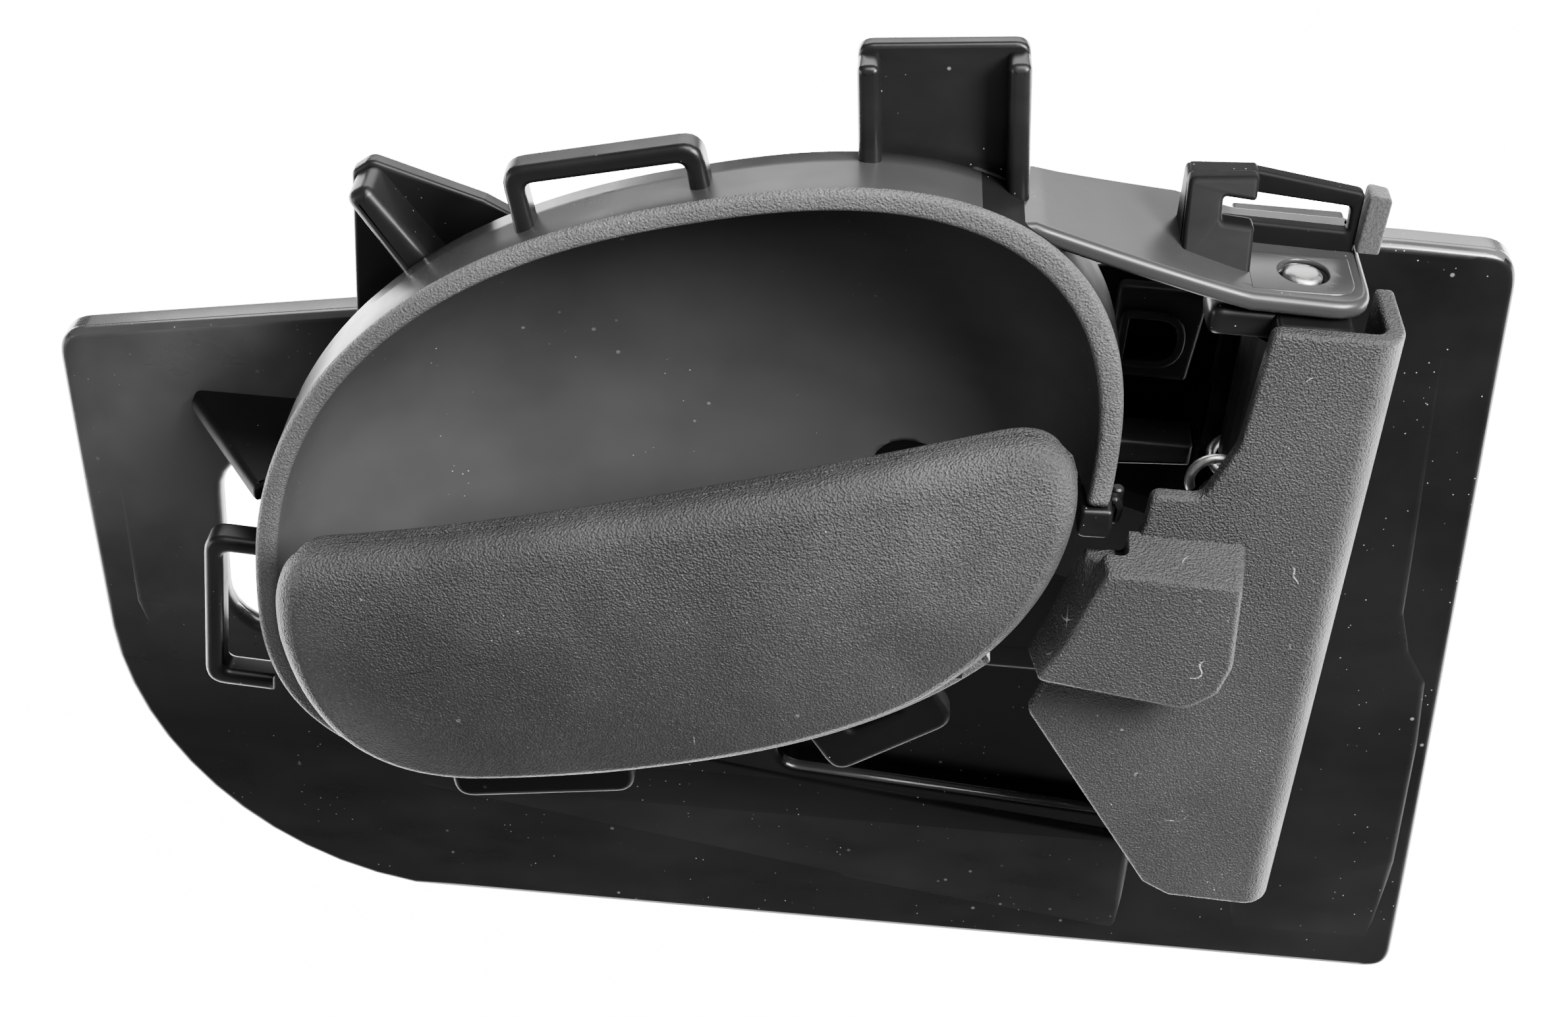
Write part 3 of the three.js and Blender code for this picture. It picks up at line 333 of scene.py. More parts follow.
# The bowl is painted lighter low down and darker towards its top, as painted light and as painted shade
# under the rim.
BOWL = smooth_plastic(
    "satin bowl", grey(0.046), grey(0.034), 0.34, 0.50, dust=0.06, painted_light_grade=(22, 60, 1.2, 0.4)
)
SKIRT = smooth_plastic("skirt plastic", grey(0.030), grey(0.022), 0.24, 0.38, dust=0.01)
SHADED = smooth_plastic("shaded skirt", grey(0.005), grey(0.004), 0.55, 0.70, shine=0.08)
# The plate's haze paints a lighter patch on its left end, partly as a painted highlight.
PLATE = smooth_plastic(
    "plate plastic", grey(0.006), grey(0.003), 0.26, 0.42, dust=0.11, shine=0.18, highlight_and_haze=0.05
)
CLIP = smooth_plastic("clip plastic", grey(0.007), grey(0.004), 0.28, 0.46, dust=0.03, shine=0.3)
ROUGH = smooth_plastic("rough clip plastic", grey(0.005), grey(0.003), 0.50, 0.66, dust=0.10, shine=0.09)
# A lighter, shinier finish for walls that face up: the lighter colour is a painted highlight.
TOP_PAINTED_HIGHLIGHT = smooth_plastic("shiny top wall, painted lighter", grey(0.06), grey(0.03), 0.16, 0.26, dust=0.02, shine=0.9)
NATURAL = smooth_plastic("natural acetal", (0.52, 0.50, 0.44), (0.44, 0.42, 0.36), 0.35, 0.5)
RUBBER = smooth_plastic("rubber", grey(0.012), grey(0.008), 0.7, 0.85)
FELT = felt_tape("felt tape")
PIN = metal("pin steel", (0.72, 0.72, 0.70), (0.45, 0.45, 0.44), 0.25, 0.5, (1, 1, 1))
WIRE = metal("spring wire", (0.85, 0.85, 0.83), (0.60, 0.60, 0.58), 0.24, 0.42, (1, 1, 0.2))


# ------------------------------------------------------------------ pieces


def keep(obj, body, material=None, replaces=()):
    """Finishes a piece: its material, the body it rides on and the CAD nodes it stands for."""
    if material is not None:
        obj.data.materials.clear()
        obj.data.materials.append(material)
    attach(obj, body)
    if replaces:
        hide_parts(*replaces)
    return obj


def link_mesh(name, mesh):
    obj = bpy.data.objects.new(name, mesh)
    bpy.context.scene.collection.objects.link(obj)
    return obj


def smooth(obj, angle=40):
    """Smooth shading, with edges sharper than the angle kept."""
    obj.data.polygons.foreach_set("use_smooth", [True] * len(obj.data.polygons))
    obj.data.set_sharp_from_angle(angle=math.radians(angle))
    return obj


def weighted(obj):
    """Weights the normals by face area, so that flat faces beside a rounded edge look flat."""
    modifier = obj.modifiers.new("normals", "WEIGHTED_NORMAL")
    modifier.keep_sharp = True
    modifier.weight = 80
    return obj


def shaped_mesh(obj):
    """A new mesh of the object as its curve settings or modifiers leave it."""
    bpy.context.view_layer.update()
    return bpy.data.meshes.new_from_object(obj.evaluated_get(bpy.context.evaluated_depsgraph_get()))


def split_at(shape, place, normal):
    """Adds the edges where a plane through a place, in millimetres, crosses the faces."""
    everything = shape.verts[:] + shape.edges[:] + shape.faces[:]
    bmesh.ops.bisect_plane(shape, geom=everything, plane_co=Vector(place) * MM, plane_no=normal)


def ramped(value, start, end):
    """0 before start, 1 after end and even between them."""
    return min(max((value - start) / (end - start), 0), 1)


def set_back(obj, depth, axis, start, end):
    """Moves points back along Y, by more as their place along an axis goes from start to end."""
    for vertex in obj.data.vertices:
        vertex.co.y += depth * MM * ramped(getattr(vertex.co, axis) / MM, start, end)


def slab(name, outline, near, far, edge=0.4, holes=(), upright=True, edge_steps=2):
    """A slab with rounded edges and holes.

    Upright outlines are in X and Z and run along Y from near to far. Flat ones are in X and Y and run
    along Z."""
    curve = bpy.data.curves.new(name, "CURVE")
    curve.dimensions = "2D"
    curve.fill_mode = "BOTH"
    edge = min(edge, (far - near) / 2 - 0.01)
    curve.extrude = ((far - near) / 2 - edge) * MM
    curve.bevel_depth = edge * MM
    curve.bevel_resolution = edge_steps
    curve.offset = -edge * MM
    for path in (outline, *holes):
        spline = curve.splines.new("POLY")
        spline.points.add(len(path) - 1)
        for point, (x, y) in zip(spline.points, path):
            point.co = (x * MM, y * MM, 0, 1)
        spline.use_cyclic_u = True
    source = bpy.data.objects.new(name, curve)
    bpy.context.scene.collection.objects.link(source)
    mesh = shaped_mesh(source)
    bpy.data.objects.remove(source)
    middle = (near + far) / 2 * MM
    if upright:
        turn = Matrix.Rotation(math.pi / 2, 4, "X")
        mesh.transform(Matrix.Translation((0, middle, 0)) @ turn)
    else:
        mesh.transform(Matrix.Translation((0, 0, middle)))
    shape = bmesh.new()
    shape.from_mesh(mesh)
    bmesh.ops.remove_doubles(shape, verts=shape.verts, dist=1e-6)
    bmesh.ops.recalc_face_normals(shape, faces=shape.faces)
    shape.to_mesh(mesh)
    shape.free()
    mesh.name = name
    return weighted(smooth(link_mesh(name, mesh)))


def rings_mesh(name, rings):
    """A skin over rings of equal count, with its two ends closed on their middles."""
    shape = bmesh.new()
    rows = [[shape.verts.new(Vector(p) * MM) for p in ring] for ring in rings]
    count = len(rings[0])
    for lower, upper in zip(rows, rows[1:]):
        for i in range(count):
            j = (i + 1) % count
            shape.faces.new((lower[i], lower[j], upper[j], upper[i]))
    for row in (rows[0], rows[-1]):
        middle = shape.verts.new(sum((v.co for v in row), Vector()) / count)
        for i in range(count):
            shape.faces.new((row[i], row[(i + 1) % count], middle))
    bmesh.ops.recalc_face_normals(shape, faces=shape.faces)
    mesh = bpy.data.meshes.new(name)
    shape.to_mesh(mesh)
    shape.free()
    return smooth(link_mesh(name, mesh))


def pillow(name, outline, spine, front, back, front_edge, back_edge, crown, lift=0.0):
    """A blade with a crowned front and rounded edges.

    The rings of its front shrink towards the spine, a line in X and Z."""
    a, b = Vector(spine[0]), Vector(spine[1])

    def towards_spine(points, share):
        ring = []
        for point in points:
            p = Vector(point)
            along = max(0.0, min(1.0, (p - a).dot(b - a) / (b - a).length_squared))
            foot = a + (b - a) * along
            q = foot + (p - foot) * share
            ring.append((q.x, q.y))
        return ring

    def at(points, y):
        return [(x, y, z) for x, z in points]

    rings = []
    flat = inset(outline, front_edge, lift)
    for share in (0.12, 0.3, 0.48, 0.64, 0.78, 0.9, 0.97):
        rings.append(at(towards_spine(flat, share), front + crown * share**2))
    for k in range(9):
        angle = math.pi / 2 * k / 8
        distance = front_edge * (1 - math.sin(angle))
        rings.append(at(inset(outline, distance, lift), front + crown + front_edge * (1 - math.cos(angle))))
    for k in range(6):
        angle = math.pi / 2 * k / 5
        distance = back_edge * (1 - math.cos(angle))
        rings.append(at(inset(outline, distance), back - back_edge + back_edge * math.sin(angle)))
    return rings_mesh(name, rings)


def turned(name, profile, x, y, steps=48, along="Z"):
    """A turned solid: profile is [radius, height], and its axis runs through x, y (or x, z along Y)."""
    rings = []
    for radius, height in profile:
        ring = []
        for k in range(steps):
            c = radius * math.cos(2 * math.pi * k / steps)
            s = radius * math.sin(2 * math.pi * k / steps)
            ring.append((x + c, y + s, height) if along == "Z" else (x + c, height, y + s))
        rings.append(ring)
    return rings_mesh(name, rings)


def wire(name, points, radius):
    """A round wire through points, as a mesh."""
    curve = bpy.data.curves.new(name, "CURVE")
    curve.dimensions = "3D"
    curve.bevel_depth = radius * MM
    curve.bevel_resolution = 4
    curve.use_fill_caps = True
    spline = curve.splines.new("POLY")
    spline.points.add(len(points) - 1)
    for point, place in zip(spline.points, points):
        point.co = (*(Vector(place) * MM), 1)
    source = bpy.data.objects.new(name, curve)
    bpy.context.scene.collection.objects.link(source)
    mesh = shaped_mesh(source)
    bpy.data.objects.remove(source)
    mesh.name = name
    return smooth(link_mesh(name, mesh), 60)


# ------------------------------------------------------------------ camera, light and floor


def make_camera():
    """A camera in front of the part and above it, rolled a little."""
    elevation, roll = math.radians(35), math.radians(5)
    distance, target = 261, Vector((0, -30, 30))
    forward = Vector((0, math.cos(elevation), -math.sin(elevation)))
    level_up = Vector((0, math.sin(elevation), math.cos(elevation)))
    right = Vector((1, 0, 0)) * math.cos(roll) + level_up * math.sin(roll)
    up = Vector((-1, 0, 0)) * math.sin(roll) + level_up * math.cos(roll)
    camera = bpy.data.objects.new("camera", bpy.data.cameras.new("camera"))
    bpy.context.scene.collection.objects.link(camera)
    turn = Matrix((right, up, -forward)).transposed().to_4x4()
    camera.matrix_world = Matrix.Translation((target - forward * distance) * MM) @ turn
    camera.data.sensor_width = 36
    camera.data.lens = 56.5
    camera.data.clip_start = 0.01
    bpy.context.scene.camera = camera


def area_light(name, place, target, size, power):
    data = bpy.data.lights.new(name, "AREA")
    data.shape = "RECTANGLE"
    data.size, data.size_y = size
    data.energy = power
    lamp = bpy.data.objects.new(name, data)
    bpy.context.scene.collection.objects.link(lamp)
    lamp.location = place
    lamp.rotation_mode = "QUATERNION"
    lamp.rotation_quaternion = (Vector(target) - Vector(place)).to_track_quat("-Z", "Y")


def make_studio():
    """A pale floor that glows behind the part and is grey in front of it, and four soft lights. The glow is
    painted light and the grey front is painted shade.
    """
    floor_z = -0.16
    mesh = bpy.data.meshes.new("floor")
    reach = 6.0
    corners = ((-1, -1), (1, -1), (1, 1), (-1, 1))
    mesh.from_pydata([(x * reach, y * reach, floor_z) for x, y in corners], [], [(0, 1, 2, 3)])
    floor = link_mesh("floor", mesh)
    paper = Nodes("pale floor")
    # The floor glows behind the part as painted light, and is painted grey in front of it as painted shade.
    behind = paper.ramp(place_along(paper, "Y"), -0.06, 0.05)
    paper.set("Base Color", paper.mix(behind, grey(0.20), grey(0.93)))
    paper.set("Roughness", 0.9)
    paper.set("Emission Color", (1.0, 1.0, 1.0))
    paper.set("Emission Strength", paper.math("MULTIPLY", behind, 15.0))
    floor.data.materials.append(paper.material)
    world = bpy.data.worlds.new("studio")
    world.use_nodes = True
    world.node_tree.nodes["Background"].inputs["Color"].default_value = (1, 1, 1, 1)
    world.node_tree.nodes["Background"].inputs["Strength"].default_value = 0.14
    bpy.context.scene.world = world
    area_light("back softbox", (0.0, 0.62, 0.50), (0, 0, 0.03), (0.9, 0.35), 5)
    area_light("overhead", (0.10, -0.26, 0.60), (0, -0.02, 0.02), (0.35, 0.3), 5.2)
    area_light("right key", (0.19, -0.20, 0.24), (0.01, -0.04, 0.03), (0.12, 0.12), 4.6)
    area_light("left low", (-0.62, -0.30, -0.04), (0, -0.02, 0), (0.14, 0.5), 2.6)


make_camera()
make_studio()

# ------------------------------------------------------------------ back plate

# The front of the plate, and how far back its parts reach.
FACE_Y = -6.0
PANEL_REAR_Y = FACE_Y + 2.6
POCKET_REAR_Y = -1.9
# The least upward part of the normal of a wall that faces up.
UP_FACING = 0.6
plate_outline = bezier(
    (-84.6, 25.5),
    ((-83.8, 11), (-83, 0), (-82.1, -13.5)),
    ((-80.6, -31.3), (-66, -49.8), (-44.6, -53)),
    ((-20, -53), (20, -53), (81.6, -53)),
    ((84.4, -53), (85.6, -52), (85.3, -49)),
    ((83, -15), (79.5, 25), (77.6, 50.5)),
    ((77.3, 53.6), (76.2, 55), (73.4, 55)),
    ((70, 55), (64, 55.2), (61, 55)),
    ((20, 47.5), (-40, 36.8), (-81.4, 29.4)),
    ((-83.6, 29), (-84.7, 28), (-84.6, 25.5)),
    steps=12,
)


def stadium(x, z, half_width, half_length, steps=12):
    """An oblong with round ends, longer along Z."""
    points = []
    reach = half_length - half_width
    for end in (1, -1):
        for k in range(steps + 1):
            angle = math.pi * k / steps + (0 if end > 0 else math.pi)
            points.append((x + half_width * math.cos(angle), z + end * reach + half_width * math.sin(angle)))
    return points


def paint_top_highlight(obj):
    """Gives the walls that face up their own, shinier finish, with a lighter colour as a painted highlight.
    """
    obj.data.materials.append(TOP_PAINTED_HIGHLIGHT)
    for polygon in obj.data.polygons:
        if polygon.normal.z > UP_FACING:
            polygon.material_index = 1


def plate():
    """The face, border, pocket, three panels and seat pad, and the block, collar and rail of the window."""
    slot = stadium(-61, 1.2, 6, 13)
    window = rounded([(38.5, -3, 2), (63, -3, 2), (63, 12, 2), (38.5, 12, 2)])
    pocket = rounded([(2, -26.2, 3), (46, -29.6, 2), (46, -8, 3), (2, -8, 3)])
    dee = rounded([(35.8, 38.8, 0.5), (41.9, 38.8, 2.8), (41.9, 44.6, 2.8), (35.8, 44.6, 0.5)])
    face = slab("plate_face", plate_outline, FACE_Y, FACE_Y + 2.5, 1.0, (slot, window, pocket))
    keep(face, "housing", PLATE, ("back_plate",))
    paint_top_highlight(face)
    border = slab("plate_border", plate_outline, FACE_Y + 0.6, -1.8, 0.5, (inset(plate_outline, 2),))
    keep(border, "housing", PLATE)
    paint_top_highlight(border)
    floor = slab("plate_pocket", inset(pocket, -1.6), FACE_Y + 3, POCKET_REAR_Y, 0.4)
    keep(floor, "housing", PLATE)
    wall = slab(
        "plate_pocket_wall", inset(pocket, -1.6), FACE_Y + 1.2, POCKET_REAR_Y, 0.3, (inset(pocket, 0.1),)
    )
    keep(wall, "housing", PLATE)
    low_panel = rounded(
        [(-44, -52, 4), (49.5, -52, 3.4), (48.6, -32.4, 1.4), (4, -27.0, 1), (-52, -18, 6), (-68, -32, 8)]
    )
    panel = slab("plate_low_panel", low_panel, FACE_Y - 0.75, PANEL_REAR_Y, 1.5, edge_steps=4)
    set_back(panel, 0.9, "x", 44, -18)
    set_back(panel, 0.8, "z", -40, -50)
    keep(panel, "housing", PLATE)
    right_panel = rounded(
        [(63.4, -52, 3), (82.6, -51, 2), (82.7, -33.6, 3), (81.4, -13.8, 3), (80.2, -3.9, 2), (77.2, 0.6, 2),
         (75.4, 6, 3), (71.6, 53.6, 1), (62, 53.6, 1), (62, 20, 0), (61.5, -20, 0), (61.6, -42, 1)]
    )
    panel = slab("plate_right_panel", right_panel, FACE_Y - 0.35, PANEL_REAR_Y, 1.4, edge_steps=4)
    set_back(panel, 0.4, "z", -36, -48)
    set_back(panel, 0.4, "z", 34, 50)
    keep(panel, "housing", PLATE)
    left_field = rounded(
        [(-81.3, 26.8, 1), (-78.9, -9, 2), (-76, -22, 8), (-60, -30, 8), (-52, 10, 4), (-50, 28, 2)]
    )
    field = slab("plate_left_field", left_field, FACE_Y - 0.3, PANEL_REAR_Y, 1.4, (slot,), edge_steps=4)
    set_back(field, 0.6, "x", -79, -67)
    set_back(field, 0.4, "z", -8, -16)
    set_back(field, 0.4, "z", 14, 24)
    keep(field, "housing", PLATE)
    seat = turned("plate_seat_pad", [(8.6, -4.2), (9, -3.8), (9, -0.4), (8.6, 0), (0.5, 0)], 0, 0, along="Y")
    keep(seat, "housing", PLATE)
    block_face = rounded([(34.5, 36.4, 0.6), (43.6, 36.4, 0.6), (44.6, 48, 1), (34.5, 48, 1)])
    block = slab("plate_window_block", block_face, FACE_Y - 1.6, FACE_Y + 1, 0.6, (dee,))
    keep(block, "housing", BOWL)
    around = inset(dee, -0.7)
    collar = slab("plate_window_collar", around, FACE_Y - 2.3, FACE_Y, 0.3, (inset(dee, 0.3),), edge_steps=3)
    keep(collar, "housing", BOWL)
    rail_face = rounded([(34, 26.6, 0.4), (45.2, 27.4, 0.4), (45.2, 30.2, 0.4), (34, 30.2, 0.4)])
    rail = slab("plate_window_rail", rail_face, FACE_Y - 5, FACE_Y + 1, 0.6)
    keep(rail, "housing", BOWL)


plate()

# ------------------------------------------------------------------ finger cup

CUP_CENTRE = (-11.5, 25.3)
CUP_HALF_WIDTH = 45.7
CUP_RISE_ABOVE = 40
CUP_RISE_BELOW = 33
CUP_SLOPE = 0.279
CUP_POWER = 2 / 2.4
CUP_FRONT = -30
CUP_SKIRT_REAR = -21.5
CUP_LIP = 2.4
CUP_DEPTH = 21
CUP_EDGE = 0.7
BOWL_POWER = 2 / 2.5
# Where the lever's arm comes in: a low gap, and a taller one at its right end.
GAP_LEFT, GAP_LOW, GAP_HIGH = 16.9, 11.6, 26.2
RIM_GAP_LEFT, RIM_GAP_HIGH = 28.4, 33.9
# The skirt is in shade under the lug's strap, to the right of and above these.
SHADE_LEFT, SHADE_LOW = 16.9, 20
# The order of the cup's materials.
ON_SKIRT, ON_RIM, IN_BOWL, IN_SHADE = range(4)


def cup_point(angle, fraction, inward):
    """X and Z on the cup's sheared oval, drawn in by a distance and then scaled by a fraction."""
    c, s = math.cos(angle), math.sin(angle)
    rise = (CUP_RISE_ABOVE if s > 0 else CUP_RISE_BELOW) - inward
    across = math.copysign(abs(c) ** CUP_POWER, c) * (CUP_HALF_WIDTH - inward)
    up = math.copysign(abs(s) ** CUP_POWER, s) * rise
    return CUP_CENTRE[0] + fraction * across, CUP_CENTRE[1] + fraction * (up + CUP_SLOPE * across)


def cup_profile():
    """(fraction, inward, y, part) from the skirt's rear edge over the rim to the bowl's middle."""
    profile = []
    edge = CUP_EDGE
    for y in (CUP_SKIRT_REAR, -24, -27, CUP_FRONT + edge):
        profile.append((1, 0, y, ON_SKIRT))
    for k in range(1, 5):
        angle = math.pi / 2 * k / 4
        inward = edge * (1 - math.cos(angle))
        profile.append((1, inward, CUP_FRONT + edge - edge * math.sin(angle), ON_RIM))
    for k in range(5):
        angle = math.pi / 2 * k / 4
        inward = CUP_LIP - edge + edge * math.sin(angle)
        profile.append((1, inward, CUP_FRONT + edge * (1 - math.cos(angle)), ON_RIM))
    steps = 40
    for k in range(2, steps):
        angle = k / steps * math.pi / 2
        fraction = math.cos(angle) ** BOWL_POWER
        profile.append((fraction, CUP_LIP, CUP_FRONT + CUP_DEPTH * math.sin(angle) ** BOWL_POWER, IN_BOWL))
    return profile


def cup():
    """One thin shell, opened for the lever's arm, then given its wall and the fixing hole."""
    steps = 200
    profile = cup_profile()
    shape = bmesh.new()
    rows = []
    for fraction, inward, y, _part in profile:
        row = []
        for k in range(steps):
            x, z = cup_point(2 * math.pi * k / steps, fraction, inward)
            row.append(shape.verts.new(Vector((x, y, z)) * MM))
        rows.append(row)
    for lower, upper, (*_, part) in zip(rows, rows[1:], profile[1:]):
        for k in range(steps):
            j = (k + 1) % steps
            face = shape.faces.new((lower[k], lower[j], upper[j], upper[k]))
            x, _, z = lower[k].co / MM
            under_strap = part == ON_SKIRT and x > SHADE_LEFT and z > SHADE_LOW
            face.material_index = IN_SHADE if under_strap else part
    face = shape.faces.new(rows[-1])
    face.material_index = IN_BOWL
    for x in (GAP_LEFT, RIM_GAP_LEFT):
        split_at(shape, (x, 0, 0), (1, 0, 0))
    for z in (GAP_LOW, GAP_HIGH, RIM_GAP_HIGH):
        split_at(shape, (0, 0, z), (0, 0, 1))
    inside = []
    for face in shape.faces:
        middle = face.calc_center_median() / MM
        in_wall_gap = middle.x > GAP_LEFT and GAP_LOW < middle.z < GAP_HIGH
        in_rim_gap = middle.x > RIM_GAP_LEFT and GAP_LOW < middle.z < RIM_GAP_HIGH
        if in_wall_gap or in_rim_gap:
            inside.append(face)
    bmesh.ops.delete(shape, geom=inside, context="FACES")
    bmesh.ops.recalc_face_normals(shape, faces=shape.faces)
    mesh = bpy.data.meshes.new("finger_cup_shell")
    shape.to_mesh(mesh)
    shape.free()
    obj = smooth(link_mesh("finger_cup_shell", mesh), 50)
    for material in (SKIRT, RIM, BOWL, SHADED):
        mesh.materials.append(material)
    wall = obj.modifiers.new("wall", "SOLIDIFY")
    wall.thickness = 1.5 * MM
    wall.offset = -1
    wall.use_even_offset = False
    hole = [(x - 18.4, z) for z, x in stadium(23.3, 36.6, 4.7, 8.9)]
    cutter = slab("fixing_hole_cutter", hole, -20, -4, 0.05)
    cutter.hide_render = True
    cutter.hide_viewport = True
    cut = obj.modifiers.new("fixing hole", "BOOLEAN")
    cut.operation = "DIFFERENCE"
    cut.object = cutter
    baked = shaped_mesh(obj)
    obj.modifiers.clear()
    obj.data = baked
    bpy.data.objects.remove(cutter)
    keep(obj, "housing", None, ("finger_cup",))


cup()

# ------------------------------------------------------------------ what stands on the cup and the plate


def cup_height(x):
    """Z of the cup's outer surface above its centre, at a given X."""
    low, high = 0.0, math.pi / 2
    for _ in range(40):
        middle = (low + high) / 2
        if cup_point(middle, 1, 0)[0] > x:
            low = middle
        else:
            high = middle
    return cup_point(low, 1, 0)[1]


def lug():
    """The strap that climbs from the pin to the cup, the flat land round the pin, and its foot."""
    strap = rounded(
        [(15.6, -29, 0), (57, -28.8, 4.4), (57, -9.5, 0.5), (38, -9.8, 3), (25, -14.7, 4), (15.6, -17.5, 0)]
    )
    pin_hole = circle(PIN_X, PIN_Y, 2.6)
    thickness = 2
    obj = slab("pivot_lug_strap", strap, 0, thickness, 0.8, (pin_hole,), upright=False, edge_steps=4)
    grid = bmesh.new()
    grid.from_mesh(obj.data)
    for k in range(24):
        split_at(grid, (16 + 1.25 * k, 0, 0), (1, 0, 0))
    for vertex in grid.verts:
        x = vertex.co.x / MM
        along = max(0.0, (46 - x) / 21)
        straight = 59.8 + 5.2 * along**1.12
        top = min(straight, cup_height(x) - 0.12) if x < 21.5 else straight
        vertex.co.z += (top - thickness) * MM
    grid.to_mesh(obj.data)
    grid.free()
    keep(obj, "housing", SKIRT, ("upper_pivot_lug",))
    flat = rounded([(44.6, -27.4, 0.3), (55.4, -27.2, 3), (55.4, -19.4, 0.3), (44.6, -19.4, 0.3)])
    land = slab("pivot_lug_land", flat, 59.4, 60.05, 0.24, (pin_hole,), upright=False)
    keep(land, "housing", SKIRT)
    foot_face = rounded([(45, 47, 1), (57, 47, 1), (57, 58.6, 0.4), (45, 58.6, 0.4)])
    foot = slab("pivot_lug_foot", foot_face, -9.6, FACE_Y, 0.4)
    keep(foot, "housing", CLIP)


def tab():
    """A square plate with two ribs on its front, leaning a little to one side."""
    face = rounded([(-8.5, 1.6, 0), (8.5, 1.6, 0), (8.5, 18.8, 1.6), (-8.5, 18.8, 1.6)])
    parts = [slab("top_tab_plate", face, -20.6, -18.6, 0.5)]
    for side in (-1, 1):
        word, foot_z = ("left", 5.0) if side < 0 else ("right", 2.6)
        outer, inner = side * 8.5, side * 6.2
        rib = rounded([(outer, foot_z, 0), (outer, 17.9, 0.9), (inner, 17.9, 0.9), (inner, foot_z, 0)])
        parts.append(slab(f"top_tab_rib_{word}", rib, -24, -20, 0.8, edge_steps=3))
    lean = Matrix.Translation((13.6 * MM, 0, 61.6 * MM)) @ Matrix.Rotation(math.radians(-6), 4, "Y")
    for part in parts:
        part.data.transform(lean)
    keep(parts[0], "housing", CLIP, ("top_tab",))
    for part in parts[1:]:
        keep(part, "housing", CLIP)


def trim_loop(name, x, z, outward, span, bar=2.1, material=CLIP):
    """A loop, span wide, whose outer edge has its middle at x, z and faces outward, in degrees from +X."""
    half, rise = span / 2, 8
    frame_line = rounded([(-half, -rise, 0), (half, -rise, 0), (half, 0, 2.4), (-half, 0, 2.4)])
    reach = half - bar
    hole = rounded([(-reach, -2 * rise, 0), (reach, -2 * rise, 0), (reach, -bar, 1), (-reach, -bar, 1)])
    strap = [p for p in frame_line if p[1] > -rise + 0.01]
    hole_side = [p for p in hole if p[1] > -2 * rise + 0.01]
    outline = [(-half, -rise), (-reach, -rise), *reversed(hole_side), (reach, -rise), (half, -rise), *strap]
    obj = slab(name + "_strap", outline, -27, -23.4, 0.85, edge_steps=4)
    turn = Matrix.Translation((x * MM, 0, z * MM)) @ Matrix.Rotation(math.radians(90 - outward), 4, "Y")
    obj.data.transform(turn)
    keep(obj, "housing", material, (name,))


def clip_box():
    """A slotted wall across the lug and, at its left end, a hollow block whose front leans back."""
    low, high = 59.6, 68.4
    face = rounded(
        [(40, low, 0), (56.2, low, 0), (56.2, high - 1.8, 0.8), (45, high - 0.3, 0.4), (40, high - 0.9, 0)]
    )
    slot = rounded([(41.0, 62.4, 0.3), (55.2, 62.1, 0.4), (55.0, 64.9, 0.6), (41.0, 65.9, 0.3)])
    web = slab("clip_box_web", face, -17.6, -15.9, 0.4, (slot,))
    keep(web, "housing", ROUGH, ("slotted_clip_box",))
    front = rounded(
        [(37.7, low, 0.7), (44.8, low, 0.4), (44.8, 64.0, 0.5), (41.4, 64.2, 0.4), (41.4, 66.4, 0.4),
         (44.8, 66.2, 0.5), (44.8, high + 0.1, 0.6), (37.7, high - 0.5, 0.9)]
    )
    lean = slab("clip_box_front", front, -19.7, -17.8, 0.5, edge_steps=3)
    side_face = rounded([(37.7, low, 0), (39.4, low, 0), (39.4, 67.9, 0.4), (37.7, 67.6, 0.6)])
    side = slab("clip_box_side", side_face, -19.2, -15.6, 0.5)
    upper_face = rounded([(38, 66.8, 0.4), (45, 66.8, 0.4), (45, 68.3, 0.5), (38, 67.8, 0.5)])
    upper = slab("clip_box_cap", upper_face, -19, -15.7, 0.4)
    for part in (lean, side, upper):
        for vertex in part.data.vertices:
            rise = (vertex.co.z / MM - low) / (high - low)
            reach = min(max((-15.6 - vertex.co.y / MM) / 3.2, 0), 1)
            vertex.co.y -= 4.8 * MM * max(0.0, 1 - rise) * reach
        keep(part, "housing", ROUGH)
    pad = rounded([(56.3, 60.1, 0.3), (58.7, 60.1, 0.3), (58.9, 66.5, 0.6), (56.5, 66.9, 0.6)])
    keep(slab("clip_box_felt", pad, -18.4, -15.4, 0.3), "housing", FELT, ("clip_box_pad",))


def bracket():
    """A web on the cup's upper left with a rib on its front."""
    web = rounded([(-48, 40, 0), (-38, 46, 0), (-30, 54, 0), (-34, 56, 0.5), (-46, 59.6, 1.5), (-48, 58, 1)])
    back = slab("corner_bracket_web", web, -15.8, -13.6, 0.5)
    keep(back, "housing", CLIP, ("corner_bracket",))
    rib = rounded([(-47.9, 57.6, 1.2), (-45.4, 59.3, 1.2), (-37.4, 49.4, 0), (-40.0, 46.6, 0)])
    keep(slab("corner_bracket_rib", rib, -21.2, -14, 1.25, edge_steps=4), "housing", CLIP)


def gusset():
    """A fin from the plate to the cup's left wall."""
    web = rounded(
        [(-69.2, -5, 0), (-69.2, -7.6, 0.6), (-58, -24.5, 0.6), (-56.4, -23, 0), (-52.5, -18, 0),
         (-49, -13.5, 0), (-46, -10, 0), (-46, -5, 0)]
    )
    fin = slab("side_gusset_web", web, 20.6, 22.8, 0.9, upright=False, edge_steps=3)
    keep(fin, "housing", ROUGH, ("side_gusset",))


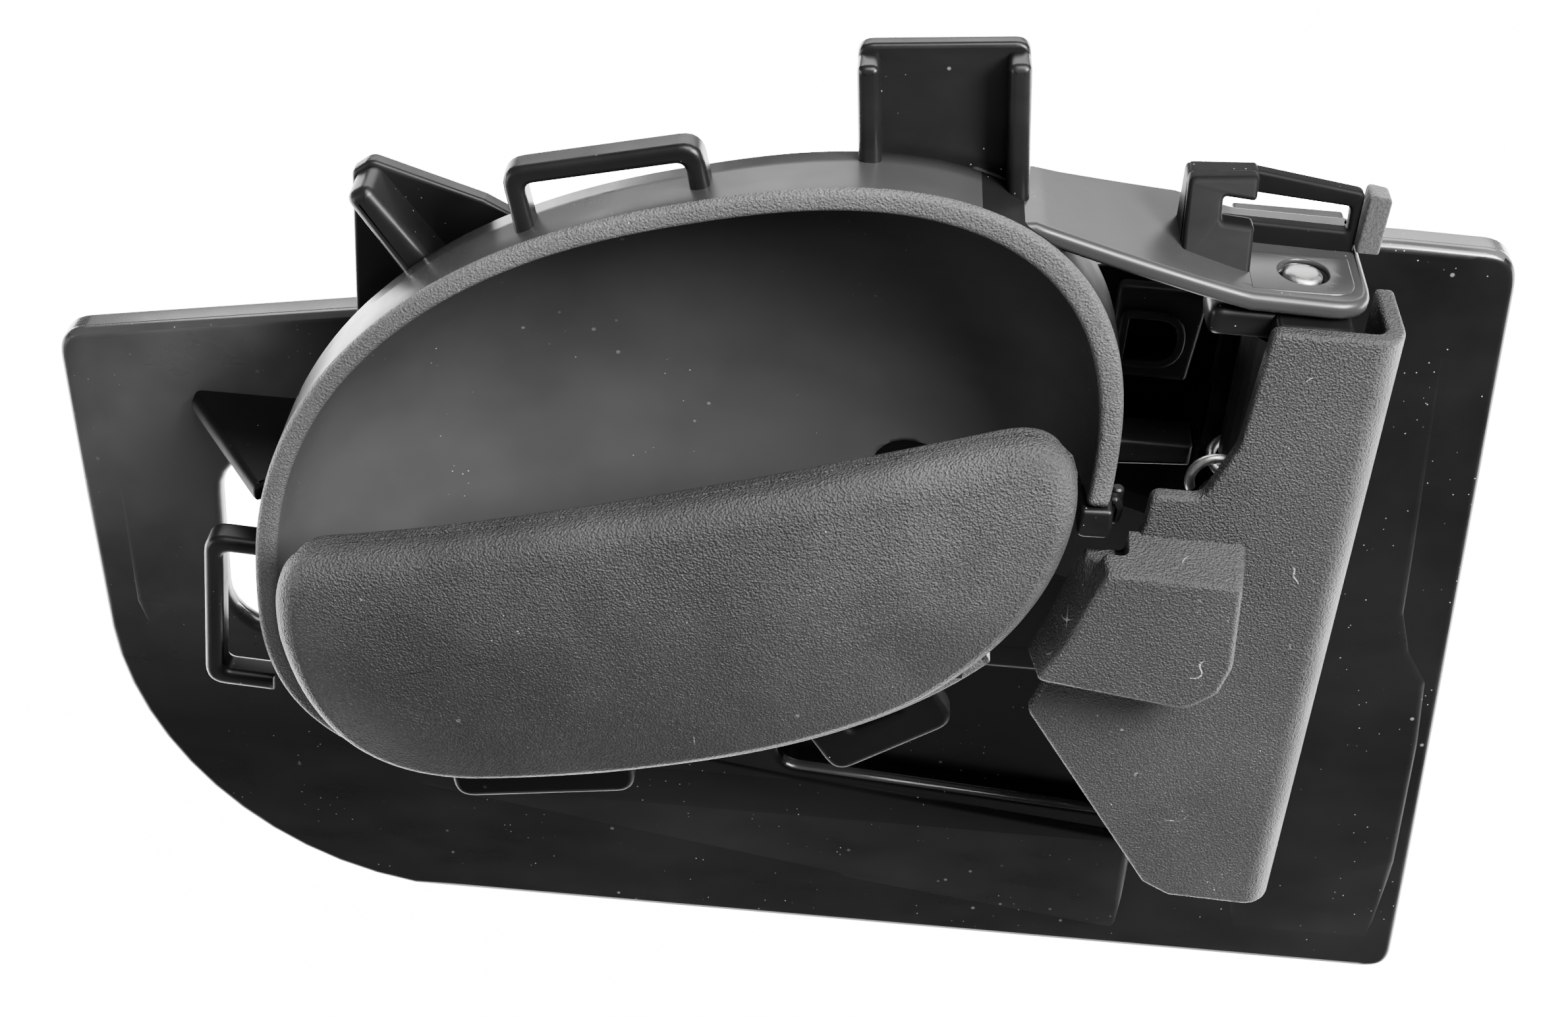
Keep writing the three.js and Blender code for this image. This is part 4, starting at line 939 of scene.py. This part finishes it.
def rim_clip():
    """A jaw on the rim's end with a stub beside it and a peg on the stub."""
    jaw_face = rounded(
        [(31, 29.9, 0.9), (34.5, 30.0, 0.9), (34.7, 31.4, 0.3), (34.5, 33.6, 0.5), (31.2, 33.4, 0.5)]
    )
    jaw = slab("rim_end_clip_jaw", jaw_face, -30.4, -25, 0.5, edge_steps=3)
    keep(jaw, "housing", CLIP, ("rim_end_clip",))
    stub_face = rounded(
        [(34.3, 30.0, 0.7), (35.8, 30.2, 0.9), (36.0, 32.4, 0.9), (35.2, 33.8, 0.7), (34.3, 33.6, 0.3)]
    )
    stub = slab("rim_end_clip_stub", stub_face, -28.0, -25, 0.7, edge_steps=3)
    keep(stub, "housing", PLATE)
    peg = turned("rim_end_clip_peg", [(0.7, 32.6), (0.7, 33.9), (0.5, 34.1), (0.1, 34.1)], 35.2, -26.2, 20)
    keep(peg, "housing", CLIP)


lug()
tab()
for loop in (
    ("trim_loop_top", -21.2, 68, 104, 20.5),
    ("trim_loop_left", -64, 7, 177, 21),
    ("trim_loop_bottom", -25, -16.1, -81, 21.5, 4.6, ROUGH),
    ("trim_loop_corner", 15.2, -4.4, -55, 16, 4.6, ROUGH),
):
    trim_loop(*loop)
clip_box()
bracket()
gusset()
rim_clip()

# ------------------------------------------------------------------ pull lever

grip_outline = bezier(
    (-47.5, 25.4),
    ((-30, 28.5), (-5, 36.5), (20.8, 45.8)),
    ((26.5, 47.8), (29.4, 45), (29.5, 39)),
    ((29.4, 30), (25.5, 21.5), (16.7, 13.6)),
    ((5, 4.4), (-16, -1.4), (-31.7, -3.2)),
    ((-42, -4), (-50, 0.5), (-52.6, 14)),
    ((-53.4, 20.5), (-52.4, 24.6), (-47.5, 25.4)),
    steps=20,
)
GRIP_SPINE = ((-38, 11), (14, 30))


def grip():
    """The crowned front, the thin ragged flash along its top edge, and the core behind it."""
    shell = pillow("grip_front", grip_outline, GRIP_SPINE, -41.5, -36.7, 2.7, 0.4, 0.8, 0.42)
    keep(shell, "pull", GRIP, ("grip_shell",))
    top_edge = [p for p in grip_outline if p[0] > -46 and p[1] > 25.5 + 0.02 * (p[0] + 46)]
    near, far = [], []
    for k, (x, z) in enumerate(top_edge):
        # Quick waves inside a slow one, so that the flash comes and goes along the edge.
        ragged = abs(math.sin(12.9 * k) * math.cos(5.3 * k)) * abs(math.sin(0.31 * k + 0.6))
        near.append((x, z - 0.5))
        far.append((x + 0.1 * ragged, z + 0.05 + 0.32 * ragged))
    flash = slab("grip_flash", near + list(reversed(far)), -36.95, -36.65, 0.05)
    keep(flash, "pull", SHEET)
    core = pillow("grip_core", inset(grip_outline, 0.7), GRIP_SPINE, -36.8, -33.5, 0.3, 1.2, 0)
    keep(core, "pull", GRIP)


grip()

# ------------------------------------------------------------------ lock lever


def lock_sheet():
    """The sheet is laid out flat and bent round its fold. Its ear, knuckle and crank stand behind it."""
    front, wall, side_x, side_rear, fold = -31.5, 2.0, 60.6, -20, 3.4
    bend_start = side_x - fold
    arc = fold * math.pi / 2
    side_length = side_rear - (front + fold)
    end = bend_start + arc + side_length
    outline = rounded(
        [
            (46.9, 57.4, 1.2),
            (45.9, 43.5, 6),
            (43.2, 36.8, 1.6),
            (38, 36.8, 1.2),
            (37.8, 33, 0.6),
            (37, 29, 0.5),
            (28.9, 6.6, 1.2),
            (45.4, -17.4, 1.5),
            (48.6, -19.1, 2),
            (58, -19.5, 0),
            (end, -19.5, 1.5),
            (end, 57.4, 0.8),
        ]
    )
    obj = slab("lock_sheet_panel", outline, front, front + wall, 0.5, edge_steps=3)
    grid = bmesh.new()
    grid.from_mesh(obj.data)
    for x in (*(bend_start + arc * k / 12 for k in range(13)), *range(32, 53, 4), 55):
        split_at(grid, (x, 0, 0), (1, 0, 0))
    for z in range(-16, 57, 6):
        split_at(grid, (0, 0, z), (0, 0, 1))
    for vertex in grid.verts:
        along = vertex.co.x / MM
        depth = vertex.co.y / MM - front
        if along <= bend_start:
            continue
        angle = min((along - bend_start) / fold, math.pi / 2)
        past = max(along - bend_start - arc, 0)
        radius = fold - depth
        vertex.co.x = (bend_start + radius * math.sin(angle)) * MM
        vertex.co.y = (front + fold - radius * math.cos(angle) + past) * MM
        if past > 0:
            vertex.co.x = (side_x - depth) * MM
    grid.to_mesh(obj.data)
    grid.free()
    keep(obj, "lock", SHEET, ("lock_lever",))
    # The ear and the knuckle start inside the sheet, and the crank starts inside the knuckle.
    x, y, root = PIN_X, PIN_Y, front + wall - 0.6
    ear = rounded(
        [(x - 9.4, y - 4.3, 1.4), (47.4, y - 4.3, 0), (47.4, root, 0), (55.6, root, 0),
         (55.6, y + 3.2, 3), (x - 9.4, y + 3.2, 3)]
    )
    hole = circle(x, y, 2.3, 28)
    keep(slab("lock_ear", ear, 54, 57.4, 1.0, (hole,), False, 3), "lock", CLIP)
    knuckle = [(x - 3.5, root)] + [
        (x + 4.6 * math.cos(a), y + 4.6 * math.sin(a))
        for a in (math.radians(220 - 260 * k / 20) for k in range(21))
    ] + [(x + 3.5, root)]
    keep(slab("lock_knuckle", knuckle, -12, -8.6, 0.5, (hole,), False), "lock", CLIP)
    eye_y = y + 11.5
    crank = [(x - 3, y + 2.4)] + [
        (x + 4 * math.cos(a), eye_y + 4 * math.sin(a))
        for a in (math.radians(200 - 220 * k / 16) for k in range(17))
    ] + [(x + 3, y + 2.4)]
    eye = circle(x, eye_y, 2.7, 28)
    keep(slab("lock_crank", crank, -12, -8.6, 0.5, (eye,), False), "lock", CLIP)


def lock_pad():
    """A drafted block: its front face is smaller than its foot, and its left side is hollowed."""
    front_ring = rounded(
        [(34.0, 30.5, 0.9), (48.2, 30.2, 0.9), (49.0, 19.4, 4), (48.0, 15.6, 2.4), (45, 13.2, 2.4),
         (28.3, 15.5, 0.7), (30.8, 20.4, 12), (32.4, 26.0, 14)],
        5,
    )
    rear_ring = rounded(
        [(33.4, 31.8, 0.9), (48.9, 31.8, 0.9), (49.2, 19.4, 4), (48.9, 14.8, 2.4), (45.2, 12.9, 2.4),
         (27.7, 14.6, 0.7), (29.6, 20.4, 12), (31.2, 27.0, 14)],
        5,
    )
    edge = 0.8
    front, rear = -37.3, -31.0
    middle, middle_reach = Vector((39.5, 22)), 9.5

    def drawn_in(distance):
        """The front outline drawn towards its middle, by the distance where it is middle_reach away."""
        points = [Vector(p) for p in front_ring]
        return [p + (middle - p) * (distance / middle_reach) for p in points]

    rings = []
    for share in (7.5, 5, 3, 1.6, 1.2):
        rings.append([(p.x, front, p.y) for p in drawn_in(share * edge)])
    for k in range(7):
        angle = math.pi / 2 * k / 6
        ring = drawn_in(edge * (1 - math.sin(angle)))
        rings.append([(p.x, front + edge * (1 - math.cos(angle)), p.y) for p in ring])
    for t in (0.04, 0.35, 0.7, 1.0):
        y = front + edge + (rear - front - edge) * t
        rings.append(
            [(a[0] + (b[0] - a[0]) * t, y, a[1] + (b[1] - a[1]) * t) for a, b in zip(front_ring, rear_ring)]
        )
    obj = rings_mesh("lock_pad_block", rings)
    notch_face = rounded([(26, 29.2, 0), (36.2, 29.2, 0.9), (36.6, 34, 0), (26, 34, 0)])
    notch = slab("lock_pad_notch", notch_face, -34.4, -29, 0.8)
    cut = obj.modifiers.new("notch", "BOOLEAN")
    cut.operation = "DIFFERENCE"
    cut.object = notch
    baked = shaped_mesh(obj)
    obj.modifiers.clear()
    obj.data = baked
    bpy.data.objects.remove(notch)
    weighted(smooth(obj, 35))
    keep(obj, "lock", SHEET, ("lock_pad",))


lock_sheet()
lock_pad()

# ------------------------------------------------------------------ pin, spring and the carried-over nodes


def pin():
    """A turned pin with eased ends."""
    profile = [(0.4, 60.0), (1.3, 60.05), (1.75, 59.95), (2, 59.65), (2, -18.4), (1.6, -19.4), (0.3, -19.4)]
    keep(turned("pivot_pin_rod", profile, PIN_X, PIN_Y), "housing", PIN, ("pivot_pin",))


def spring():
    """A leg, close turns, a climb and a turn at the top. The hook is a separate arc of wire."""
    x, y, radius = PIN_X, PIN_Y, 5.5
    low, high = box_mm("handle_return_spring")
    bottom, top = low.z + 0.6, high.z - 0.7
    per_turn, pitch = 32, 0.62
    climb_start, climb_turns = 1.6, 0.75
    points = [(x + radius, y + 14, bottom), (x + radius, y + 6, bottom)]
    for k in range(int(3.4 * per_turn) + 1):
        turn = k / per_turn
        angle = -2 * math.pi * turn
        climb = min(max(turn - climb_start, 0) / climb_turns, 1)
        rise = (top - bottom - 1.0) * climb * climb * (3 - 2 * climb)
        z = bottom + pitch * min(turn, climb_start) + rise
        points.append((x + radius * math.cos(angle), y + radius * math.sin(angle), z))
    coil = wire("return_spring_coil", points, 0.52)
    keep(coil, "housing", WIRE, ("handle_return_spring",))
    hook = [
        (x - 5.4 + 2.7 * math.cos(a), y - 4.3, top + 2.7 * math.sin(a))
        for a in (math.radians(55 + 150 * k / 20) for k in range(21))
    ]
    keep(wire("return_spring_hook", hook, 0.55), "housing", WIRE)


pin()
spring()

# These nodes keep the CAD shape.
finishes = {
    "lower_pivot_bracket": CLIP,
    "pin_retaining_ring": WIRE,
    "handle_stop_bumper": RUBBER,
    "lock_stop_bumper": RUBBER,
    "lock_detent_spring": WIRE,
    "cable_anchor_clip": NATURAL,
    "thrust_washer": NATURAL,
    "pull_lever": CLIP,
    "pivot_bush_upper": NATURAL,
    "pivot_bush_lower": NATURAL,
    "cable_swivel": PIN,
    "lock_rod_clip": NATURAL,
}
for name, material in finishes.items():
    obj = nodes[name]
    obj.data.materials.clear()
    obj.data.materials.append(material)
    smooth(obj, 35)
